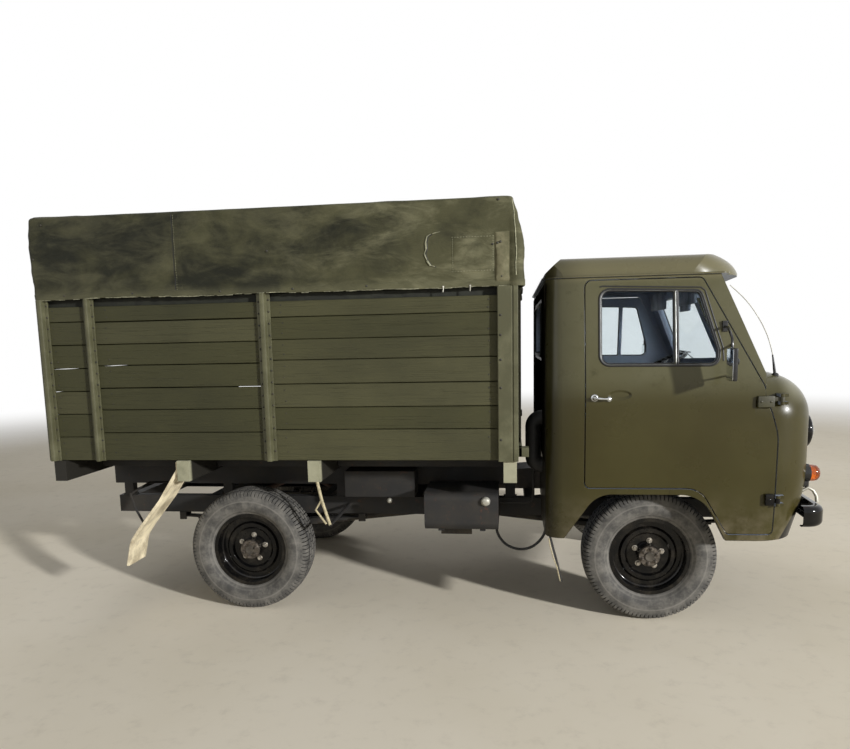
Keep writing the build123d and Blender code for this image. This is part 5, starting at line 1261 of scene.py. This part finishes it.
def door_trim(side, word):
    """Window seals, bright beads, vent bar, a dark line painted as shade along the window's pressing, handle, mirror
    and hinge arms of one door.
    """
    body, out = "door_" + word, Vector((0, side, 0))

    def upright(ahead, lift):
        """A line up the door's skin from the window's lower edge to its upper one."""
        return [at(ahead, side * (door_skin(z) + lift), z) for z in WINDOW_HEIGHTS]

    build("window_seal_" + word, body, "seal", "black_rubber",
          (tube, side_ring(DOOR_WINDOW, 7, side, 0.5), 0.0058, 8, True),
          (tube, side_ring(MAIN_WINDOW, -2, side, -11), 0.0045, 6, True),
          (tube, side_ring(VENT_WINDOW, -2, side, -11), 0.0045, 6, True))
    build("window_bead_" + word, body, "bead", "lamp_glass",
          (tube, side_ring(DOOR_WINDOW, 1.5, side, 0.5), 0.0015, 6, True),
          (tube, upright(82, -1), 0.0036, 8))
    # The dark line along the pressing beside the window is painted shade in its fold
    press_shade_line = dense([Vector(place) for place in WINDOW_PRESS], 25, False)
    build("window_divider_and_press_shade_" + word, body, "seal", "black_rubber",
          (tube, upright(90, 0.5), 0.0050, 8),
          (tube, [at(p.x, side * (door_skin(p.y) - 0.6), p.y) for p in press_shade_line], 0.0042, 8))
    foot = [(0, 0.019), (0.004, 0.019), (0.007, 0.016), (0.008, 0.012), (0.022, 0.011), (0.027, 0.008), (0.028, 0)]
    lever = route([(ahead, CAB_SKIN + y, z) for ahead, y, z in HANDLE_LEVER], side)
    button = [(0, 0.014), (0.005, 0.014), (0.009, 0.011), (0.010, 0.0)]
    made = build("door_handle_" + word, body, "chrome", "lamp_glass",
                 (lathe, foot, at(-326, side * CAB_SKIN, 1259), out, 24),
                 (tube, lever, [0.006, 0.0085, 0.0085, 0.0075, 0.008, 0.005], 14, False, 0.8),
                 (lathe, button, at(-252, side * CAB_SKIN, 1252), out, 20))
    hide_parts("door_fittings_" + word)
    # Mirror: black back, its glass behind, bent arm and stay, foot and knuckle
    arm = [(320, door_skin(1612) - 2, 1612), (316, 985, 1606), (308, 1050, 1580), (306, 1088, 1552),
           (306, 1095, 1520), (306, 1095, 1490)]
    stay = [(352, door_skin(1520) - 2, 1520), (338, 990, 1500), (320, 1060, 1470), (312, 1080, 1462)]
    knuckle = [(-0.018, 0), (-0.018, 0.016), (0.014, 0.016), (0.018, 0.012), (0.018, 0)]
    build("mirror_back_" + word, body, "wheel_plastic", "wheel_plastic",
          (slab, (299, 319), (side * 1040, side * 1150), (1347, 1506), 0.008),
          (tube, route(arm, side), 0.0065, 10),
          (tube, route(stay, side), 0.0055, 8),
          (slab, (308, 334), (side * 905, side * 925), (1585, 1640), 0.003),
          (lathe, knuckle, at(321, side * 1095, 1440), (1, 0, 0), 16))
    build("mirror_glass_" + word, body, "mirror", "window_glass",
          (slab, (296.5, 299.2), (side * 1045, side * 1145), (1352, 1501), 0.001))
    clamp = (352, door_skin(1372) + 1, 1372)
    build("mirror_clamp_" + word, body, "chrome", "lamp_glass",
          (lathe, [(0, 0.018), (0.006, 0.018), (0.010, 0.014), (0.011, 0.0)], *route([clamp], side), out, 16),
          (tube, route([clamp, (338, 1000, 1372), (316, 1060, 1378)], side), 0.005, 8))
    for name, finish, z, low, high, rear, front in HINGE_ARMS:
        barrel = [(-0.012, 0), (-0.012, 0.012), (0.012, 0.012), (0.012, 0)]
        bolts = [at(ahead, side * 984, (low + high) / 2) for ahead in (rear + 16, front - 18)]
        build(name + word, body, finish, "cab_paint",
              (slab, (rear, front), (side * 963, side * 984), (low, high), 0.006),
              (slab, (front - 12, 588), (side * 970, side * 981), (z - 10, z + 10), 0.002),
              (lathe, barrel, at(588, side * 982, z), (0, 0, 1), 20),
              *[(round_head, place, out, 0.0065, 0.004) for place in bolts])


for side_sign, side_word in SIDES:
    door_trim(side_sign, side_word)


def seat_on(tree, ahead, y, z, direction, lift=0.0):
    """Where a line from a point meets the panels, lifted off them; nothing if it misses."""
    found = tree.ray_cast(at(ahead, y, z), Vector(direction))[0]
    return None if found is None else found - Vector(direction) * lift


def seat_ring(outline, ahead, side, direction, lift):
    """A path on the cab's panels round an outline of (y, z, corner radius)."""
    points = dense(grown(rounded(outline), 6))
    ring = [seat_on(CAB_FACES, ahead, side * p.x, p.y, direction, lift) for p in points]
    return [point for point in ring if point is not None]


def wiper(bm, side):
    """Pivot, arm and blade of one wiper, seated on the windscreen."""
    back = (-1, 0, 0)
    pivot = seat_on(CAB_FACES, 1300, side * 520, 1374, back)
    rows = [(-0.004, 0.013), (0.010, 0.013), (0.016, 0.009), (0.022, 0.008), (0.022, 0)]
    lathe(bm, rows, pivot, (0.7, 0, 0.7), 16)
    arm = [pivot + Vector((0.014, 0, 0.014))]
    for share in (0.2, 0.4, 0.6, 0.8, 1.0):
        lift = 0.026 - 0.008 * share
        arm.append(seat_on(SCREEN_FACES, 1300, side * (520 + 165 * share), 1374 + 86 * share, back, lift))
    tube(bm, arm, [0.004, 0.004, 0.0035, 0.003, 0.003, 0.003], 8)
    blade = []
    for share in (0.0, 0.2, 0.4, 0.6, 0.8, 1.0):
        blade.append(seat_on(SCREEN_FACES, 1300, side * (560 + 250 * share), 1452 + 10 * share, back, 0.013))
    tube(bm, blade, 0.0045, 8)


def screen_trim():
    """Seals of the windscreen and rear window, a dark sheet painted as shade behind the cab, wipers, aerial, inside
    mirror and sun visors.
    """
    build("screen_seals", "chassis", "seal", "black_rubber",
          *[(tube, seat_ring(SCREEN, 1300, side, (-1, 0, 0), 0.002), 0.0070, 8, True) for side in (RIGHT, LEFT)],
          (tube, seat_ring(REAR_PANE, -1300, 1, (1, 0, 0), 0.001), 0.0075, 8, True))
    # A dark matt sheet on the wall behind the cab, in four strips round its pane: painted shade
    strips = [((-850, -462), (900, 1860)), ((462, 850), (900, 1860)),
              ((-461, 461), (900, 1438)), ((-461, 461), (1802, 1860))]
    build("cab_back_shade_sheet", "chassis", "back_shade", "black_rubber",
          *[(slab, (-576.5, -574.6), y, z, 0.0004) for y, z in strips])
    build("wipers", "chassis", "wheel_plastic", "wheel_plastic", (wiper, RIGHT), (wiper, LEFT))
    base = seat_on(CAB_FACES, 615, -800, 1600, (0, 0, -1)) or at(615, -800, 1330)
    foot = [(615, -800, 1342), (612, -800, 1370), (606, -800, 1410), (598, -800, 1462)]
    build("aerial_base", "chassis", "wheel_plastic", "wheel_plastic",
          (lathe, [(-0.006, 0.017), (0.006, 0.017), (0.012, 0.010), (0.012, 0)], base, (0, 0, 1), 18),
          (tube, route(foot), [0.0085, 0.0075, 0.006, 0.0035], 12))
    bends = [(612, 1380), (604, 1430), (590, 1500), (558, 1590), (500, 1690), (440, 1765), (373, 1825)]
    cord("aerial", [at(ahead, -800, z) for ahead, z in bends], 0.0022, 3, "pale_metal")
    build("inside_mirror", "chassis", "trim", "cab_trim",
          (slab, (336, 356), (-105, 105), (1722, 1790), 0.007),
          (tube, route([(352, 0, 1775), (362, 0, 1815), (352, 0, 1868)]), 0.006, 8))
    build("sun_visors", "chassis", "trim", "cab_trim",
          *[(slab, (250, 268), (side * 160, side * 580), (1745, 1862), 0.008) for side in (RIGHT, LEFT)])


screen_trim()

HEADLAMP_RADIUS = 0.0875
LENS_DOME = [
    (0.0225 + 0.0300 * (1 - (1 - k / 9) ** 2) ** 0.75, HEADLAMP_RADIUS - HEADLAMP_RADIUS * k / 9) for k in range(10)
]
LAMP_PARTS = [
    # piece, lamp, finish, slot, steps round it, node that it replaces, rows of (along, radius)
    ("headlamp_rim_", "head", "gloss", "bumper_paint", 48, "headlamps",
     [(-0.002, 0.084), (-0.002, 0.099), (0.008, 0.1005), (0.017, 0.0985), (0.024, 0.0925), (0.0245, 0.0885),
      (0.020, 0.086), (-0.002, 0.084)]),
    ("headlamp_lens_", "head", "lens", "lamp_glass", 48, None,
     [(0.018, 0.0), (0.018, HEADLAMP_RADIUS), *LENS_DOME]),
    ("headlamp_bowl_", "head", "chrome", "lamp_glass", 40, None,
     [(0.016, 0.0865), (-0.010, 0.080), (-0.030, 0.066), (-0.046, 0.046), (-0.056, 0.022), (-0.058, 0.0)]),
    ("headlamp_bulb_", "head", "bulb", "lamp_glass", 16, None,
     [(-0.056, 0.0), (-0.056, 0.010), (-0.030, 0.012), (-0.016, 0.011), (-0.008, 0.006), (-0.006, 0.0)]),
    ("turn_base_", "turn", "wheel_plastic", "wheel_plastic", 36, "turn_lamps",
     [(-0.060, 0.0), (-0.060, 0.040), (-0.022, 0.047), (0.006, 0.0475), (0.008, 0.044), (0.008, 0.0)]),
    ("turn_lens_", "turn", "orange", "turn_lens", 36, None,
     [(0.0075, 0.0), (0.0075, 0.0435), (0.030, 0.0430), (0.046, 0.0395), (0.055, 0.030), (0.058, 0.015),
      (0.058, 0.0)]),
    ("tail_base_", "tail", "wheel_plastic", "wheel_plastic", 32, "tail_lamps",
     [(-0.0295, 0.0), (-0.0295, 0.047), (-0.008, 0.048), (-0.002, 0.046), (-0.002, 0.040), (-0.0295, 0.0)]),
    ("tail_lens_", "tail", "red", "tail_lens", 32, None,
     [(-0.006, 0.0), (-0.006, 0.0405), (0.002, 0.0395), (0.008, 0.030), (0.010, 0.0)]),
]


def lamp_trim():
    """Headlamps, turn lamps and tail lamps with their rims, lenses and bowls."""
    low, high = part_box("tail_lamps")
    for side, word in SIDES:
        lamps = {
            "head": (at(854, side * 560, 1035), (1, 0, 0)),
            "turn": (at(800, side * 790, 835), (1, 0, 0)),
            "tail": (Vector((low.x, side * 0.860, (low.z + high.z) / 2)), (-1, 0, 0)),
        }
        for name, lamp, finish, slot, steps, node, rows in LAMP_PARTS:
            parts = [(lathe, rows, *lamps[lamp], steps)]
            if name == "turn_base_":
                parts.append((slab, (770, 806), (side * 765, side * 812), (760, 800), 0.006))
            made = build(name + word, "chassis", finish, slot, *parts)
            if node:
                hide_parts(node)


lamp_trim()


def spring_clamps(bm):
    """U-bolts and plates that hold the springs to the axles."""
    for axle_x in (FRONT_AXLE_X, FRONT_AXLE_X - 2.3):
        for side in (RIGHT, LEFT):
            for x in (axle_x - 0.045, axle_x + 0.045):
                bends = ((0.352, 0.330), (0.352, 0.478), (0.385, 0.490), (0.418, 0.478), (0.418, 0.330))
                tube(bm, [(x, side * y, z) for y, z in bends], 0.006, 8)
            inner, outer = sorted((side * 0.345, side * 0.425))
            box(bm, (axle_x - 0.062, inner, 0.312), (axle_x + 0.062, outer, 0.322), 0.002)


def under_boards(bm):
    """A step with its brackets, and splash boards and bearers in the shade under the floor."""
    slab(bm, (-1191, -999), (-452, -446), (375, 469), 0.002)
    for ahead in (-1170, -1020):
        slab(bm, (ahead - 12, ahead + 12), (-447.5, -442.5), (455, 500), 0.001)
    for side in (RIGHT, LEFT):
        for rear, front in ((-3320, -2625), (-2545, -1868), (-1788, -802)):
            slab(bm, (rear, front), (side * 600, side * 640), (836, 932), 0.003)
    slab(bm, (-1760, -1330), (-600, -440), (640, 800), 0.010)
    slab(bm, (-1700, -1330), (440, 700), (560, 800), 0.010)


def underbody_trim():
    """Spring clamps, exhaust, steps, stays, knobs and pale edges under the body."""
    build("spring_clamps", "chassis", "chassis", "chassis_paint", (spring_clamps,))
    low_pipe = [(-380, 240, 470), (-700, 250, 430), (-1000, 262, 420), (-1250, 270, 430)]
    silencer = [(0, 0), (0, 0.055), (0.02, 0.062), (0.44, 0.062), (0.46, 0.055), (0.46, 0)]
    tail_pipe = [(-1700, 270, 430), (-1950, 265, 445), (-2150, 262, 560), (-2420, 262, 560), (-2700, 262, 445),
                 (-3050, 262, 430)]
    build("exhaust", "chassis", "rusty", "machine_iron",
          (tube, route(low_pipe), 0.022, 14),
          (lathe, silencer, at(-1250, 270, 430), (-1, 0, 0), 24),
          (tube, route(tail_pipe), 0.020, 14))
    build("under_boards", "chassis", "chassis", "chassis_paint", (under_boards,))
    build("guard_stays", "chassis", "pale_wood", "guard_paint",
          (tube, route([(-1836, -930, 818), (-1812, -930, 700), (-1769, -930, 556)]), 0.009, 8),
          (tube, route([(-1812, -930, 700), (-1850, -925, 640), (-1790, -930, 560)]), 0.006, 8))
    rod = [(-2900, -900, 545), (-2945, -905, 640), (-2964, -908, 720), (-2960, -700, 745), (-2950, -410, 690)]
    build("guard_rods", "chassis", "chassis", "chassis_paint",
          (tube, route([(-1769, -930, 556), (-1772, -700, 552), (-1775, -415, 552)]), 0.010, 8),
          (tube, route(rod), 0.007, 8))
    disc = [(0, 0.026), (0.010, 0.026), (0.018, 0.022), (0.024, 0.014), (0.025, 0)]
    ball = [(-0.016, 0), (-0.014, 0.008), (-0.008, 0.0138), (0, 0.016), (0.008, 0.0138), (0.014, 0.008), (0.016, 0)]
    build("pale_knobs", "chassis", "pale_metal", "guard_paint",
          (lathe, disc, at(-900, -800, 668), (0, -1, 0), 20),
          (lathe, ball, at(-1483, -612, 623), (0, -1, 0), 16))
    edge = [(-557, 500), (-548, 450), (-533, 394), (-513, 340), (-496, 262)]
    build("flap_edge", "chassis", "pale_wood", "guard_paint",
          (tube, [at(ahead, -940.5, z) for ahead, z in edge], 0.0032, 8))
    loop = [(770, 815, 742), (800, 815, 760), (826, 815, 745), (842, 818, 716), (846, 820, 684)]
    build("bumper_loops", "chassis", "pale_metal", "machine_iron",
          *[(tube, route(loop, side), 0.0085, 10) for side in (RIGHT, LEFT)])


underbody_trim()


# Seats: padded cushions and backs, blown up by the cloth solver and then seamed
def pad_block(low, high, lean, name):
    """A rounded block between two corners, leaning back with height, as a new object."""
    bm = bmesh.new()
    box(bm, low, high, 0.030)
    for vertex in bm.verts:
        vertex.co.x += lean * (vertex.co.z - low[2])
    return placed(name, mesh_of(name, bm))


def swell(made, cap_size):
    """Remeshes a block and blows it up with cloth, its points moving no more than a cap."""
    bpy.context.view_layer.objects.active = made
    remesh = made.modifiers.new("remesh", "REMESH")
    remesh.mode = "VOXEL"
    remesh.voxel_size = 0.010
    view = bpy.context.evaluated_depsgraph_get()
    made.data = bpy.data.meshes.new_from_object(made.evaluated_get(view))
    made.modifiers.clear()
    start = [vertex.co.copy() for vertex in made.data.vertices]
    cloth = made.modifiers.new("cloth", "CLOTH")
    cloth.settings.use_pressure = True
    cloth.settings.uniform_pressure_force = 4
    cloth.settings.effector_weights.gravity = 0
    cloth.settings.quality = 5
    cloth.point_cache.frame_start = 1
    cloth.point_cache.frame_end = 20
    for number in range(1, 21):
        bpy.context.scene.frame_set(number)
    view = bpy.context.evaluated_depsgraph_get()
    blown = made.evaluated_get(view).to_mesh()
    places = [vertex.co.copy() for vertex in blown.vertices]
    made.evaluated_get(view).to_mesh_clear()
    made.modifiers.clear()
    bpy.context.scene.frame_set(1)
    for vertex, first, last in zip(made.data.vertices, start, places):
        move = last - first
        vertex.co = first + move * min(1.0, cap_size / max(move.length, 1e-6))


def finish_pad(made):
    """Channels, smoothing and finish of one pad."""
    low = Vector([min(v.co[k] for v in made.data.vertices) for k in range(3)])
    high = Vector([max(v.co[k] for v in made.data.vertices) for k in range(3)])
    middle = (low + high) / 2
    for vertex in made.data.vertices:
        across = (vertex.co.y - low.y) / (high.y - low.y)
        groove = max(math.exp(-(((across - share) / 0.018) ** 2)) for share in (0.26, 0.5, 0.74))
        toward = (middle - vertex.co)
        toward.y = 0
        vertex.co += toward.normalized() * 0.007 * groove
    made.data.materials.append(M["vinyl"])
    made.data.shade_smooth()
    fine = made.modifiers.new("fine", "SUBSURF")
    fine.levels = fine.render_levels = 1
    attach(made, "chassis")
    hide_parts("seats")


for side_sign, side_word in SIDES:
    middle = side_sign * 0.590
    low_y, high_y = middle - 0.213, middle + 0.213
    cushion = pad_block((x_at(-318), low_y, 0.853), (x_at(158), high_y, 0.950), 0.0, "seat_cushion_" + side_word)
    swell(cushion, 0.012)
    finish_pad(cushion)
    back = pad_block((x_at(-300), low_y, 0.972), (x_at(-222), high_y, 1.385), -0.230, "seat_back_" + side_word)
    swell(back, 0.011)
    finish_pad(back)


# Plain floor, soft light and world
FLOOR_NEAR, FLOOR_FAR = 7.5, 17.0
FLOOR_HALF = 60
AMBIENT = 0.21
LAMPS = [
    # name, place, disc size, watts
    ("key", (17.6, -13.9, 6.6), 1.2, 5900),
    ("fill", (-6.0, -8.0, 4.5), 5.0, 40),
    ("back", (-3.0, 8.0, 6.0), 5.0, 140),
]


def background_rays(tree):
    """1 for rays from the camera, a reflection or glass, as an output."""
    path = tree.nodes.new("ShaderNodeLightPath")
    total = path.outputs["Is Camera Ray"]
    for name in ("Is Glossy Ray", "Is Transmission Ray"):
        larger = tree.nodes.new("ShaderNodeMath")
        larger.operation = "MAXIMUM"
        tree.links.new(total, larger.inputs[0])
        tree.links.new(path.outputs[name], larger.inputs[1])
        total = larger.outputs["Value"]
    return total


def make_stage():
    """Pale floor that fades to white, soft lamps and a white background."""
    bm = bmesh.new()
    corners = [(-1, -1), (1, -1), (1, 1), (-1, 1)]
    bm.faces.new([bm.verts.new((FLOOR_HALF * x, FLOOR_HALF * y, 0)) for x, y in corners])
    floor = placed("floor", mesh_of("floor", bm))
    f = Finish("floor_finish", Roughness=0.9, Specular_IOR_Level=0.1)
    tone = f.mix(f.patches(0.3, 0.8, 0.6, 4), shown(250, 241, 222), shown(240, 230, 208))
    floor.data.materials.append(f.set(f.over(tone, shown(196, 186, 168), f.patches(0.5, 0.75, 9, 8, 0.7), 0.25)))
    spread = f.node("VectorMath", "Value", {0: f.place()}, operation="LENGTH")
    far = f.math("MULTIPLY", f.ramp(spread, FLOOR_NEAR, FLOOR_FAR), background_rays(f.tree))
    white = f.node("Emission", "Emission")
    mixed = f.node("MixShader", "Shader", {0: far, 1: f.shader.outputs["BSDF"], 2: white})
    f.put(mixed, f.tree.nodes["Material Output"].inputs["Surface"])
    world = bpy.data.worlds.new("studio")
    bpy.context.scene.world = world
    world.use_nodes = True
    tree = world.node_tree
    background = tree.nodes["Background"]
    strength = tree.nodes.new("ShaderNodeMapRange")
    strength.inputs["To Min"].default_value = AMBIENT
    strength.inputs["To Max"].default_value = 1.0
    tree.links.new(background_rays(tree), strength.inputs["Value"])
    tree.links.new(strength.outputs["Result"], background.inputs["Strength"])
    background.inputs["Color"].default_value = (1, 1, 1, 1)
    for name, place, size, power in LAMPS:
        lamp_data = bpy.data.lights.new(name, "AREA")
        lamp_data.shape = "DISK"
        lamp_data.size = size
        lamp_data.energy = power
        lamp = placed(name, lamp_data)
        lamp.location = place
        lamp.rotation_mode = "QUATERNION"
        lamp.rotation_quaternion = (Vector((0, 0, 1.0)) - Vector(place)).to_track_quat("-Z", "Y")


make_stage()
bpy.context.scene.view_settings.view_transform = "Standard"
